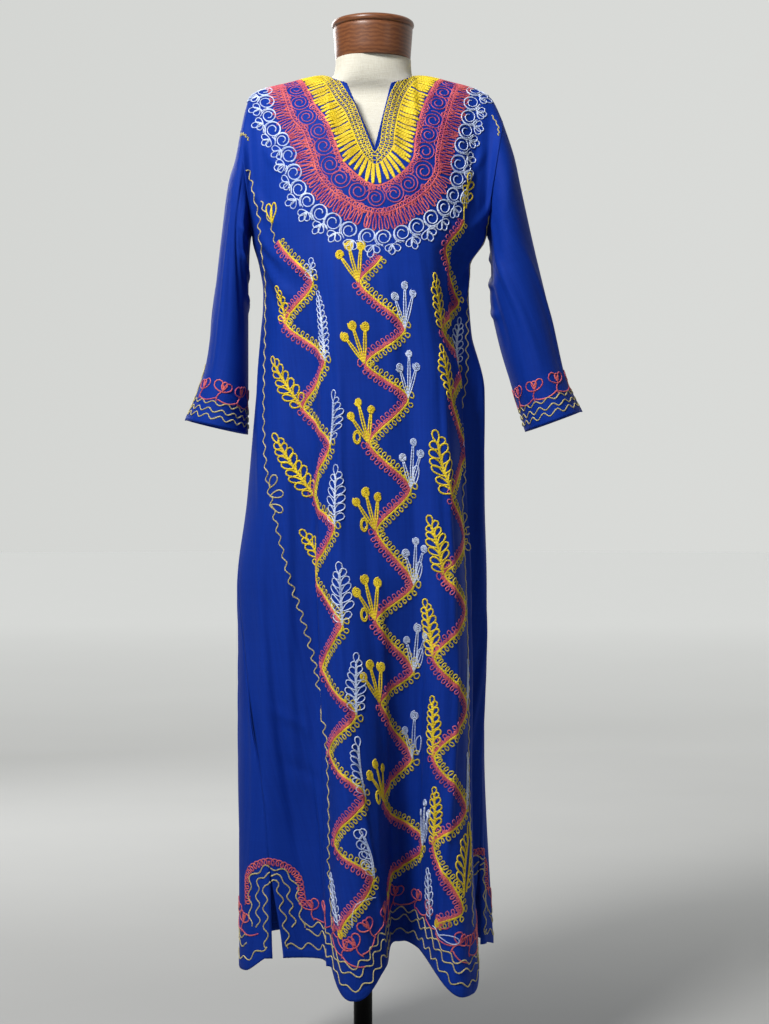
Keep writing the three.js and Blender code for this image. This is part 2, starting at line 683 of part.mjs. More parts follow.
export default group;
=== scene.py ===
import math

import bpy
import numpy as np
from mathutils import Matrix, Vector
from mathutils.bvhtree import BVHTree


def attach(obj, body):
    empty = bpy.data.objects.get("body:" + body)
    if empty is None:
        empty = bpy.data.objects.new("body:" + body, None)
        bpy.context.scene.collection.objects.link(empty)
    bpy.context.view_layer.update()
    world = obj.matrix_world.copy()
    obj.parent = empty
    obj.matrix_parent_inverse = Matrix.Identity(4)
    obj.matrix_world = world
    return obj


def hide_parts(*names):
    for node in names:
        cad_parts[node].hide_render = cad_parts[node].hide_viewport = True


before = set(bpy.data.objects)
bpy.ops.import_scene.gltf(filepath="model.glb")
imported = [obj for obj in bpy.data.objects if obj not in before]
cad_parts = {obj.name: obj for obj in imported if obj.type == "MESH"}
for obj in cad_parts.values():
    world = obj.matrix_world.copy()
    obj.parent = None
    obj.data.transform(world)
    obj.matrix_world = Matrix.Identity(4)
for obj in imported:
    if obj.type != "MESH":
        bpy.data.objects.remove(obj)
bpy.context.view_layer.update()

MM = 0.001
random = np.random.default_rng(11)

# Camera and light
CAMERA = Vector((0.0323, -3.0, 0.85))
LENS = 70.1
SENSOR = 36.0
AIM = Vector((0.0, 0.0, 0.95))
LIGHTS = {
    "key": {"at": (-0.95, -1.5, 2.8), "size": 0.6, "watts": 80, "colour": (1.0, 0.985, 0.96)},
    "side": {"at": (2.4, -2.6, 2.2), "size": 1.2, "watts": 5, "colour": (1.0, 0.99, 0.97)},
    "back": {"at": (-1.2, 2.6, 2.4), "size": 1.6, "watts": 45, "colour": (1.0, 1.0, 1.0)},
}
# The surroundings are brightest behind the object, to the right: the direction, then place and brightness
SKY_DIRECTION = (0.35, 0.9, 0.1)
SKY = [
    (0.0, (0.09, 0.092, 0.094)),
    (0.6, (0.115, 0.117, 0.118)),
    (0.9, (0.65, 0.66, 0.64)),
    (1.0, (0.70, 0.71, 0.69)),
]
FLOOR_RADIUS = 40.0
FLOOR_SIDES = 64
FLOOR_DEPTH = -0.0005
# Floor: its colour by the distance from the object and its glow by the depth behind it, in shares of a reach
FLOOR_REACH = 7
FLOOR_COLOURS = [(0.1, (0.45, 0.454, 0.448)), (0.34, (0.58, 0.585, 0.575)), (0.9, (0.9, 0.91, 0.89))]
GLOW_REACH = 12
FLOOR_GLOW = [(0.03, (0, 0, 0)), (0.35, (0.29, 0.292, 0.286)), (1, (0.45, 0.456, 0.446))]

# Pieces of cloth: node, width and length of the flat cut in metres, and its area
CUTS = {
    "front": ("kaftan_front", (0.68, 1.36), 0.80),
    "back": ("kaftan_back", (0.79, 1.36), 0.88),
    "left": ("kaftan_sleeve_left", (0.36, 0.46), 0.145),
    "right": ("kaftan_sleeve_right", (0.36, 0.46), 0.145),
}
CLOTH = 1.3
SEAM_GAP = 0.3
ARMHOLE_GAP = 0.6
UNDERARM_Z = 1265
HEM_Z = 200
SLIT_TOP_Z = 350
SLIT_OPENING_DEG = 2.6
# Share of the half width at which the neck opening ends, and the slack in finding its column
NECK_SHARE = 0.31
SHARE_SLACK = 0.001
COLUMNS = {"front": 160, "back": 124}
YOKE_ROWS = 48
SLEEVE_ROWS = 84
SLEEVE_TABLE_ROWS = 11
CUFF_SLIT_ROWS = 2
# Heights of the first rows over the hem, where the cloth is turned up, and the step between the rows above
HEM_ROWS = [0, 3, 6, 9, 12, 13.5, 16, 21]
SKIRT_STEP = 8
HEM_TURN_UP = 12.5
HEM_TURN_THICKNESS = 0.7
# Heights at which the azimuths of the columns are worked out, and steps along each level
TABLE_Z = np.linspace(130, UNDERARM_Z, 160)
LENGTH_STEPS = 240
# How steeply the creases of a sleeve fade out towards the armhole and the cuff, over its whole length
CREASE_FADE = {"armhole": 8, "cuff": 14}
CREASE_TAPER = 0.7
# Seams: how deep they lie in the cloth, width and height
FLAT_SEAM = (0.3, 1.8, 0.5)
ARMHOLE_SEAM = (0.3, 2.2, 0.7)
NECK_EDGE = (0.6, 2.8, 1.3)
SEAM_STEP = 3

# z, then the reach to the left, right, front and back
LEVELS = np.array([
    (150, 183, 186, 152, 150),
    (450, 183, 180, 148, 140),
    (650, 184, 186, 144, 128),
    (740, 188, 186, 142, 124),
    (870, 174, 183, 139, 118),
    (1030, 160, 182, 136, 108),
    (1120, 152, 163, 135, 99),
    (1180, 150, 159, 133, 99),
    (1220, 156, 161, 129, 102),
    (1265, 167, 186, 121, 106),
], float)
# Hanging folds: top height, azimuth at the top and at the hem, half width of the crest, widths of the two
# flanks, push, its heading, pinch, growth towards the hem, and how far the hem drops
FOLDS = [
    (1290, 10, 21, 25, 10, 12, 16, 8, 0, 0.4, 0),
    (1200, -31, -25, 0, 28, 9, -44, -16, 7, 0.5, 0),
    (1050, -11, -4, 1, 9, 13, 30, -4, 6, 0.9, 38),
    (760, 17, 24, 2, 14, 13, -90, 15, 0, 1.1, -20),
    (1240, 34, 48, 3, 14, 12, 44, 14, 8, 0.8, 40),
    (1270, 58, 73, 0, 9, 20, -36, 58, 5, 0.5, 0),
    (960, 118, 112, 2, 15, 15, 24, 112, 4, 0.8, 10),
    (1130, 146, 141, 0, 17, 16, -32, 142, 3, 0.7, -4),
    (1040, 174, 172, 3, 15, 16, 32, 174, 5, 0.8, 14),
    (1150, 205, 207, 0, 16, 19, -34, 206, 3, 0.7, -4),
    (900, 238, 243, 2, 14, 16, 22, 242, 4, 0.8, 8),
    (820, 283, 296, 2, 16, 13, 12, 285, 2, 0.8, 22),
]
# z, then the azimuths of the left side seam, the centre front and the right side seam
SEAMS = np.array([
    (150, -41, 25, 82),
    (350, -47, 22, 84),
    (610, -66, 16.5, 88),
    (910, -86, 13, 91),
    (1080, -90, 11, 92),
    (1265, -90, 7, 90),
], float)
NECK_TIP = np.array((18, -101, 1375), float)
# Share of the half width, then x, y and z
TOP_EDGE = {
    "left": np.array([
        (0.14, -24, -70, 1480),
        (0.2, -40, -54, 1488),
        (0.26, -53, -28, 1499),
        (0.31, -60, 10, 1507),
        (0.55, -115, 10, 1496),
        (0.76, -160, 10, 1483.5),
        (0.86, -173, 10, 1471),
        (1.0, -184, 10, 1426),
    ]),
    "right": np.array([
        (0.14, 43, -70, 1480),
        (0.2, 60, -54, 1488),
        (0.26, 74, -28, 1499),
        (0.31, 83, 10, 1507),
        (0.55, 136, 10, 1497),
        (0.76, 178, 10, 1484),
        (0.86, 194, 10, 1473),
        (1.0, 210, 10, 1440),
    ]),
}
BACK_NECK = {
    side: np.array([(0, 11.5, 78, 1502), *points], float)
    for side, points in (
        ("left", [(0.12, -22, 70, 1503), (0.22, -48, 48, 1505), (0.31, -60, 10, 1507)]),
        ("right", [(0.12, 45, 70, 1503), (0.22, 71, 48, 1505), (0.31, 83, 10, 1507)]),
    )
}
ARMPIT_SHARE = 0.88
ARMPIT_WIDTH = 0.12
ARMPIT_DEPTH = 9
YOKE_NECK = {"lower_up": 0.45, "upper_out": 0.3, "upper_down": 0.3}
YOKE_SHOULDER = {"start": 0.16, "width": 0.16, "upper_out": 0.62, "upper_down": 4}
YOKE_ARMHOLE = {
    "start": 0.7, "width": 0.3, "lower_out": 62, "lower_up": 40, "upper_out": 74, "upper_down": 10,
}
# Outer x and z, inner x and z, reach in front and behind
SLEEVES = {
    "left": [
        (-192, 1380, -171, 1246, 60, 58),
        (-203, 1340, -172, 1215, 60, 60),
        (-214, 1255, -173, 1175, 58, 62),
        (-226, 1150, -173, 1110, 57, 64),
        (-238, 1065, -173, 1042, 60, 68),
        (-266, 988, -174, 967, 66, 74),
    ],
    "right": [
        (227, 1386, 191, 1246, 60, 58),
        (238, 1335, 193, 1210, 61, 60),
        (258, 1245, 192, 1165, 60, 62),
        (281, 1150, 205, 1106, 60, 64),
        (302, 1062, 223, 1042, 63, 67),
        (328, 1001, 245, 971, 68, 72),
    ],
}
SLEEVE_Y = 4
CUFF_PARTING = {
    "left": {"front": (9, -4, 0), "back": (-3, 6, 0)},
    "right": {"front": (-5, -4, 0), "back": (3, 6, 0)},
}

# Soft creases on the cloth laid flat: from x, y to x, y, half width, height (a trough where it is negative)
# and how far the middle bows to the left of its way
CREASES = {
    "front": [
        (-206, 74, -150, 6, 13, 4.5, -8),
        (-212, 24, -140, -58, 14, 5.2, -9),
        (-208, -22, -120, -118, 16, 5.0, -10),
        (-200, -70, -112, -176, 13, -3.0, -9),
        (-176, 130, -128, 72, 12, 3.0, -5),
        (200, 60, 152, 2, 12, 4.2, 8),
        (198, 6, 138, -76, 14, 5.0, 9),
        (192, -50, 124, -150, 14, 4.5, 8),
        (170, 128, 132, 70, 12, 2.8, 5),
        (-70, -150, -88, -560, 9, 4.7, 5),
        (-84, -520, -98, -1060, 8, 5.3, -4),
        (84, -180, 92, -640, 9, 4.7, -5),
        (96, -560, 104, -1070, 9, 5.3, 4),
        (-32, -420, -28, -880, 14, 4.0, 6),
        (42, -520, 40, -1000, 13, -5.0, -5),
        (-150, -330, -205, -900, 20, -6.8, 10),
        (-176, -240, -250, -840, 15, 6.2, 12),
        (-222, -430, -282, -980, 13, -5.6, 6),
        (-196, -560, -236, -1000, 10, 4.0, 5),
        (-250, -120, -238, -420, 12, 4.3, 5),
        (148, -300, 186, -930, 15, 5.9, -8),
        (184, -420, 230, -1010, 13, -5.9, -7),
        (206, -160, 232, -560, 12, 4.7, -6),
        (250, -560, 268, -980, 11, 4.3, -4),
        (-118, 60, -84, 150, 12, 2.2, 6),
        (142, 56, 118, 146, 12, 2.2, -6),
        (-12, -690, -2, -1060, 10, 4.3, 3),
        (10, -60, -4, -330, 16, 2.8, 6),
        (-58, -30, -60, -240, 12, 2.0, -4),
        (62, -30, 66, -260, 12, 2.0, 4),
        (-268, -700, -196, -742, 11, 3.0, 5),
        (-262, -780, -200, -812, 10, -2.5, 4),
    ],
    "back": [
        (-190, 30, -110, -60, 16, 5.4, 8),
        (-186, -20, -90, -130, 15, 4.6, 9),
        (186, 26, 104, -70, 15, 5.4, -8),
        (184, -30, 84, -150, 15, 4.3, -8),
        (-150, -90, -74, -240, 14, -4.1, 8),
        (140, -100, 60, -260, 13, -3.8, -6),
        (-24, -120, -40, -560, 14, 5.1, 6),
        (52, -200, 76, -760, 13, 5.8, -7),
        (-112, -260, -158, -840, 15, 6.1, 8),
        (-226, -300, -268, -900, 14, -5.8, -8),
        (128, -320, 172, -1000, 14, -6.1, 7),
        (218, -380, 268, -980, 15, 5.8, -6),
        (-8, -560, 6, -1060, 11, 5.1, 4),
        (-186, -640, -214, -1060, 11, 4.8, 4),
        (306, -520, 338, -1020, 12, 4.8, 4),
        (-310, -560, -340, -1040, 12, -4.8, -4),
        (-90, 150, 60, 130, 16, 2.7, -14),
        (-70, 96, 78, 84, 14, 2.4, -10),
    ],
    "left": [
        (60, 60, 74, 330, 12, 4.2, 6),
        (102, 130, 96, 400, 11, -3.4, -5),
        (150, 190, 120, 380, 12, 4.4, 6),
        (190, 90, 214, 360, 13, -3.9, 8),
        (250, 40, 262, 300, 12, 4.2, -6),
        (300, 120, 288, 390, 11, 3.6, 5),
        (110, 262, 200, 226, 10, 3.9, 6),
        (104, 300, 194, 266, 9, 3.1, 6),
        (118, 206, 190, 182, 10, 2.9, 5),
    ],
    "right": [
        (58, 40, 70, 350, 12, 4.2, -6),
        (98, 110, 104, 400, 11, -3.4, 5),
        (142, 60, 150, 300, 12, 4.2, 6),
        (206, 120, 190, 390, 13, -3.9, -8),
        (256, 70, 250, 330, 12, 4.2, 6),
        (304, 30, 296, 280, 11, 3.6, -5),
        (140, 252, 220, 222, 10, 3.9, -6),
        (146, 292, 222, 262, 9, 3.1, -6),
        (150, 196, 212, 178, 10, 2.9, -5),
    ],
}

# Dress form: z, then the reach to the left, right, front and back
FORM = np.array([
    (850, 136, 150, 92, 90),
    (920, 142, 158, 98, 94),
    (1010, 126, 148, 94, 82),
    (1110, 104, 126, 88, 66),
    (1180, 118, 138, 106, 74),
    (1230, 128, 144, 112, 80),
    (1290, 134, 154, 104, 80),
    (1350, 140, 164, 88, 74),
    (1395, 150, 172, 72, 64),
    (1430, 154, 176, 58, 54),
    (1452, 150, 170, 48, 46),
    (1464, 140, 158, 42, 42),
    (1474, 118, 136, 40, 44),
    (1482, 88, 108, 42, 46),
    (1489, 66, 89.9, 46.2, 50),
    (1497, 53, 79.6, 49.2, 56),
    (1510, 44, 74, 52, 56),
    (1529, 42, 73, 53, 58),
], float)
# Section of the torso: 1 is an ellipse and less is squarer
FORM_POWER = 0.92
FORM_INSET = 0.9
FORM_SIDES = 120
FORM_ROWS = 150
FORM_SHARP_DEG = 45
NECK_X = 15
NECK_Y = 3
CAP_Z = 1529.3
# Radius and height of the turned cap, bottom first
CAP_PROFILE = [
    (0, 0), (54, 0), (55.8, 0.5), (56.5, 1.8), (57.4, 14), (58.4, 27), (59.3, 39), (59.8, 45), (59.4, 46.8),
    (58.6, 47.6), (58.6, 48.4), (60.2, 49.2), (61.5, 50.6), (62, 52.6), (61.7, 54.8), (60.6, 56.8),
    (58.4, 58.4), (54, 59.7), (46, 60.9), (34, 61.8), (18, 62.4), (0, 62.6),
]
POLE_RADIUS = 14
POLE_EDGE = 0.8
HUB_RADIUS = 24
HUB_HEIGHT = 46
# Upper edge of the hub: how far in from its radius and down from its top
HUB_EDGE = [(0, 4), (1.2, 1.2), (4, 0)]
BASE_RADIUS = 210
BASE_HEIGHT = 14
# Edge of the base from below: how far in from its radius, and height
BASE_EDGE = [(1, 0), (0, 1), (0, 7.5), (1.5, 10.5), (5, 12.7), (10, 13.7), (16, BASE_HEIGHT)]
FLANGE_RADIUS = 46
FLANGE_HEIGHT = 8
FLANGE_EDGE = 1.2
REST_GAP = 0.4
ROUND_SIDES = 96
ROUND_SHARP_DEG = 38

# Threads: name and slot of the material, its darker and its lighter colour, stitch width, lift off the cloth
THREADS = {
    "yellow": ("yellow_thread", "yellow_thread", (0.60, 0.43, 0.010), (0.86, 0.67, 0.028), 2.6, 0.45),
    "rings": ("yellow_ring_thread", "yellow_thread", (0.42, 0.34, 0.022), (0.74, 0.59, 0.035), 2.0, 0.3),
    "coral": ("coral_thread", "coral_thread", (0.44, 0.055, 0.13), (0.78, 0.17, 0.15), 2.0, 0.3),
    "plum": ("dark_coral_thread", "coral_thread", (0.34, 0.05, 0.16), (0.62, 0.13, 0.20), 1.7, 0.2),
    "white": ("white_thread", "white_thread", (0.38, 0.48, 0.76), (0.72, 0.80, 0.97), 1.7, 0.5),
    "cream": ("cream_thread", "cream_thread", (0.42, 0.36, 0.14), (0.64, 0.56, 0.26), 2.0, 0.35),
    "fine": ("pale_yellow_thread", "yellow_thread", (0.56, 0.43, 0.030), (0.78, 0.62, 0.045), 1.9, 0.3),
}
STITCH_HEIGHT = 1.0
STITCH_DEPTH = 0.5
STITCH_STEP = 2.2
LINK_SWELL = 0.12
# How far off the piece a stitch line may run on the flat cloth
STITCH_OFF = 1.2
# Where a place on the cloth is looked for along Y, and where the nearest cloth is taken when nothing is seen
SEEN_FROM = 900
NEAR_FROM = 60
# Points along one loop, wave, petal, turn of a spiral and stem
LOOP_POINTS = 9
WAVE_POINTS = 8
PETAL_POINTS = 13
SPIRAL_POINTS = 14
STEM_POINTS = 7
# Wavy lines: height and length of a wave
WAVES = {
    "hem": (4.2, 27), "slit": (3.6, 25), "cuff": (3.2, 21), "cuff_slit": (2.6, 20), "side": (3.2, 19),
    "shoulder": (1.2, 8), "sprig": (2.4, 17),
}
# Neck band: x and z on the front of its inner and its outer line, from the left shoulder to the right
NECK_BAND = [
    (-20, 1471, -152, 1414),
    (-11, 1446, -132, 1385),
    (2, 1411, -119, 1346),
    (9, 1393, -104, 1301),
    (13, 1382, -55, 1252),
    (18, 1373, 23, 1224),
    (24, 1382, 101, 1252),
    (27, 1393, 147, 1301),
    (29, 1411, 157, 1346),
    (35, 1443, 163, 1385),
    (41, 1474, 172, 1419),
]
# Shares of the half width where the band's two lines cross the shoulder seams
BAND_SHOULDER = (0.315, 0.79)
# Outer line of the band on the back: x and z
BACK_BAND = [(160, 1432), (118, 1412), (62, 1398), (12, 1394), (-40, 1398), (-96, 1412), (-140, 1430)]
BACK_BAND_DROP = 2.0
BAND_POINTS = 220
# Rows of loops in the band: share of the way from its inner to its outer line, pitch, height and width
BAND_FINE_LOOPS = [(share, 6.4, 6.6, 6.8) for share in (0.0, 0.042, 0.084)]
BAND_INNER_LOOPS = [(0.35, 6.2, 6.6, 7.0)]
BAND_OUTER_LOOPS = [(0.58, 6.6, 7.4, 7.4), (0.62, 5.2, 4.6, 5.4)]
BAND_CORAL_EDGE = 0.345
# Yellow bars: shares of their first line and ends, pitch, half width and its shares at foot, middle and tip
BARS = {"row": 0.13, "foot": 0.125, "tip": 0.335, "ragged": 0.018, "pitch": 6.3, "half": 1.7}
BAR_SHAPE = (0.7, 1.15, 0.5)
# Spirals with beads: share of the row, reach as a share of the band, and the rest in shares of the reach
ROSES = {
    "row": 0.48, "reach": 0.17, "pitch": 1.18, "size": 0.66, "bead": 0.2, "bead_along": 0.6, "bead_off": 0.62,
}
FRINGE = {"row": 0.64, "pitch": 6.2, "length": 0.15, "wide": 5.0}
# White scrolls, each with a link and three leaves: heading and length of each leaf
SCROLLS = {"row": 0.875, "pitch": 26, "radius": 14.6, "turns": 1.65, "apart": 2.0, "leaf_wide": 9.4}
SCROLL_LEAVES = ((136, 14), (182, 17), (226, 14))

# Turns of the zigzag bands, from the top down
ZIGZAGS = {
    "left": [
        (-157, -17), (-103, -81), (-162, -140), (-92, -198), (-150, -264), (-90, -318), (-146, -392),
        (-86, -436),
        (-140, -505), (-82, -576), (-137, -640), (-78, -702), (-142, -758), (-88, -818), (-158, -886),
        (-101, -933),
        (-174, -1012),
    ],
    "centre": [
        (6, -46), (-29, -86), (32, -152), (-32, -203), (28, -252), (-32, -317), (27, -382),
        (-27, -442), (26, -520),
        (-33, -570), (26, -645), (-35, -688), (24, -772), (-47, -830), (52, -896), (-50, -968),
    ],
    "right": [
        (138, 14), (110, -28), (160, -106), (96, -152), (156, -200), (98, -254), (149, -325),
        (88, -393), (138, -452),
        (70, -505), (124, -556), (60, -623), (132, -698), (72, -765), (141, -842), (81, -890),
        (139, -984), (98, -1003),
    ],
}
# Fronds beside the zigzag bands: number of the turn, heading, length, leaf length, leaf width, sides
FRONDS = {
    "yellow": {
        "left": [
            (2, -4, 44, 14, 8, 3), (4, -30, 72, 20, 9, 3), (6, -30, 88, 21, 9.5, 3), (8, -26, 56, 18, 9, 3),
        ],
        "right": [
            (3, -5, 68, 19, 8.5, 3), (5, -8, 66, 19, 8.5, 3), (7, -14, 78, 24, 10.5, 3),
            (9, -12, 70, 20, 9, 3), (11, -12, 70, 18, 8.5, 3), (13, -6, 74, 16, 8, 3), (15, -2, 70, 15, 8, 3),
        ],
    },
    "white": {
        "left": [
            (1, 6, 22, 14, 8, 3), (3, -2, 92, 13, 6.5, 3), (5, 8, 62, 20, 7.5, 2), (7, 4, 72, 20, 9, 3),
            (9, 0, 72, 21, 9, 3), (11, 8, 72, 19, 8.5, 3), (13, 4, 70, 18, 8.5, 1), (15, -2, 58, 15, 9, 1),
        ],
        "right": [(4, 8, 60, 17, 8, 3), (6, 10, 56, 15, 7, 3), (12, 2, 60, 12, 6, 2), (14, 2, 70, 12, 6, 2)],
    },
}
# Fronds by the hem: x, y, heading, length, leaf length, leaf width, sides
HEM_FRONDS = {
    "yellow": [(140, -962, 6, 76, 30, 9, 1), (146, -958, 12, 72, 14, 8, 2)],
    "white": [(-176, -1000, -8, 58, 15, 8, 3), (78, -1000, -8, 62, 15, 8, 3)],
}
# Leaves of a frond: heading off the stem, how much it drops to the tip, gap between leaves, and size, which
# follows a sine from a share of half a turn on over a second share. A stem is two lines, one on each side.
LEAF_LEAN = 52
LEAF_LEAN_DROP = 16
LEAF_GAP = 1.4
LEAF_GROWTH = (0.26, 0.56)
FROND_LINES = (-0.7, 0.9)
# Berries on the middle zigzag, yellow at odd turns and white at even ones: tips from the turn, and radius
YELLOW_BERRIES = (((-25, 40), (-12, 56), (6, 51)), 5.8)
YELLOW_RINGS = {"turns": (5, 7, 9, 13), "at": (-16, 8)}
WHITE_BERRIES = (((-11, 46), (6, 66), (16, 49)), 5.4)
TWO_WHITE_BERRIES = (((-12, 44), (3, 60)), 5.4)
TWO_BERRIES_TURN = 12
LOW_LEAVES_FROM = 6
ZIGZAG_ROUNDING = 7
ZIGZAG_POINTS = 24
# Filled spiral at the foot of a zigzag: radius, turns, first angle, hand and inner radius as a share
ZIGZAG_END = (6.5, 3.2, 30, 1, 0.1)
# Middle lines of a zigzag: thread, place to the left of the line and length of its sway
ZIGZAG_MIDDLES = [("yellow", 1.4, 9), ("coral", -1.2, 11)]
# Loops along a zigzag: thread, pitch, height, width, distance from the line, and 1 for left or -1 for right
ZIGZAG_LOOPS = [
    ("coral", 4.9, 4.4, 5.2, 0, -1), ("rings", 8.4, 9.4, 8.8, 2.0, 1), ("plum", 8.4, 9.4, 8.8, 2.0, -1),
]
# x and y of the wavy lines down the sides, from the armhole to the hem, and of the small motifs on them
SIDE_LINES = {
    -1: [
        (-206, 100), (-199, 40), (-196, -20), (-212, -90), (-219, -200), (-220, -310), (-211, -400),
        (-197, -500),
        (-185, -560), (-179, -612), (-178, -650), (-177, -680), (-151, -708), (-149, -745),
        (-158, -800), (-172, -860),
        (-192, -930), (-204, -1010),
    ],
    1: [
        (214, 100), (206, 40), (198, -30), (184, -128), (174, -220), (152, -324), (134, -430),
        (138, -560),
        (150, -700), (162, -850), (170, -1010),
    ],
}
SIDE_MOTIFS = {-1: (-212, -392), 1: (134, -446)}
SHOULDER_STITCHES = [[(-203, 168), (-196, 140)], [(176, 182), (186, 170), (188, 156)]]
# Wavy lines over the hem: height, and how far short of the side edges they stop
HEM_LINES = ((17, 10), (37, 46), (49, 46))
HEM_FLOWERS = (55, 44)
# Lines round the slits: insets of the wavy ones, and inset and rise of the row of coral loops
SLIT_INSETS = (9, 22, 35)
SLIT_ROUND = 0.8
SLIT_LOOPS = (46, 34)
CUFF_LINES = (12, 22, 33)
CUFF_FLOWERS = (36, 26)
CUFF_SLIT_INSETS = (7, 15)
FLOWER_PITCH = 37


# Curves
def mix(a, b, t):
    return a + (b - a) * t


def smooth(t):
    t = np.clip(t, 0, 1)
    return t * t * (3 - 2 * t)


def bell(x):
    return np.where(np.abs(x) >= 1, 0, np.cos(np.clip(x, -1, 1) * np.pi / 2) ** 2)


def unit(v):
    return v / np.maximum(np.linalg.norm(v, axis=-1, keepdims=True), 1e-9)


def distances(points):
    """Distances of a line's points along it, from its first point."""
    return np.concatenate([[0], np.cumsum(np.linalg.norm(np.diff(points, axis=0), axis=1))])


def straight(at, keys, values):
    """Rows of values at places among their keys, along straight lines."""
    return np.stack([np.interp(at, keys, column) for column in values.T], -1)


def along(table, at):
    """Rows of a table at values of its first column, through the rows as a monotone smooth curve."""
    keys = table[:, 0]
    values = table[:, 1:]
    rise = np.diff(values, axis=0) / np.diff(keys)[:, None]
    before, after = rise[:-1], rise[1:]
    slopes = np.zeros_like(values)
    total = before + after
    slopes[1:-1] = np.where(before * after > 0, 2 * before * after / np.where(total == 0, 1, total), 0)
    at = np.clip(np.asarray(at, float), keys[0], keys[-1])
    i = np.clip(np.searchsorted(keys, at, side="right") - 1, 0, len(keys) - 2)
    span = (keys[i + 1] - keys[i])[..., None]
    t = (at - keys[i])[..., None] / span
    return (
        (2 * t**3 - 3 * t**2 + 1) * values[i]
        + (t**3 - 2 * t**2 + t) * span * slopes[i]
        + (3 * t**2 - 2 * t**3) * values[i + 1]
        + (t**3 - t**2) * span * slopes[i + 1]
    )


def through(points, t):
    """Points on the smooth curve through a list of points, t from 0 at the first to 1 at the last."""
    points = np.asarray(points, float)
    n = len(points) - 1
    t = np.asarray(t, float)
    i = np.minimum(n - 1, np.floor(t * n).astype(int))
    u = t * n - i
    weights = (
        (-u + 2 * u**2 - u**3) / 2,
        (2 - 5 * u**2 + 3 * u**3) / 2,
        (u + 4 * u**2 - 3 * u**3) / 2,
        (-(u**2) + u**3) / 2,
    )
    out = 0
    for k, w in enumerate(weights):
        w = w.reshape(w.shape + (1,) * (points.ndim - 1))
        out = out + w * points[np.clip(i + k - 1, 0, n)]
    return out


# Hanging cloth
def place_in_fold(fold, azimuth, z):
    """Place across a fold, from -1 at its one foot to 1 at the other, and the fold's strength at a height."""
    top, start, hem, flat, near, far, *_, growth, _ = fold
    t = np.clip((top - z) / (top - HEM_Z), 0, 1)
    away = azimuth - mix(start, hem, t)
    away = away - 360 * np.round(away / 360)
    past = np.maximum(0, np.abs(away) - flat)
    strength = np.where(t > 0, np.maximum(t, 1e-9) ** growth, 0)
    return np.where(away < 0, -past / near, past / far), strength


def hanging(azimuth, z):
    """Points of the hanging cloth at azimuths and heights."""
    azimuth, z = np.broadcast_arrays(np.asarray(azimuth, float), np.asarray(z, float))
    a = np.radians(azimuth)
    level = along(LEVELS, z)
    x = np.sin(a) * np.where(np.sin(a) < 0, level[..., 0], level[..., 1])
    y = -np.cos(a) * np.where(np.cos(a) > 0, level[..., 2], level[..., 3])
    for fold in FOLDS:
        place, strength = place_in_fold(fold, azimuth, z)
        push, heading, pinch = fold[6:9]
        heading = math.radians(heading)
        out = push * strength * bell(place)
        side = np.where(np.abs(place) < 1, pinch * strength * np.sin(np.pi * place), 0)
        x = x + math.sin(heading) * out + math.cos(heading) * side
        y = y - math.cos(heading) * out + math.sin(heading) * side
    return np.stack([x, y, z], -1)


def hem_height(azimuth):
    z = np.full(np.shape(azimuth), float(HEM_Z))
    for fold in FOLDS:
        place, _ = place_in_fold(fold, azimuth, HEM_Z)
        z = z - fold[-1] * bell(place)
    return z


def azimuth_table(piece, shares):
    """Azimuths of a piece's columns at each height of TABLE_Z, and their distances from the middle."""
    azimuths = np.zeros((len(TABLE_Z), len(shares)))
    from_middle = np.zeros_like(azimuths)
    for row, z in enumerate(TABLE_Z):
        left, centre, right = along(SEAMS, z)
        parting = SLIT_OPENING_DEG * smooth((SLIT_TOP_Z - z) / (SLIT_TOP_Z - HEM_Z))
        if piece == "front":
            spans = [(left + parting, centre, -1, 0), (centre, right - parting, 0, 1)]
        else:
            spans = [(right + parting, 360 + left - parting, -1, 1)]
        for start, end, low, high in spans:
            steps = np.linspace(start, end, LENGTH_STEPS + 1)
            length = distances(hanging(steps, z))
            inside = (shares >= low) & (shares <= high)
            wanted = (shares[inside] - low) / (high - low) * length[-1]
            azimuths[row, inside] = np.interp(wanted, length, steps)
            zero = length[-1] * (0 - low) / (high - low)
            from_middle[row, inside] = wanted - zero
    return azimuths, from_middle


def top_edge(piece, shares):
    points = np.zeros((len(shares), 3))
    for i, share in enumerate(shares):
        side = "left" if (share < 0) == (piece == "front") else "right"
        edge = TOP_EDGE[side]
        s = abs(share)
        if piece == "front" and s <= edge[0][0]:
            points[i] = mix(NECK_TIP, edge[0][1:], s / edge[0][0])
        elif piece == "back" and s <= BACK_NECK[side][-1][0]:
            points[i] = along(BACK_NECK[side], s)
        else:
            points[i] = along(edge, s)
    return points


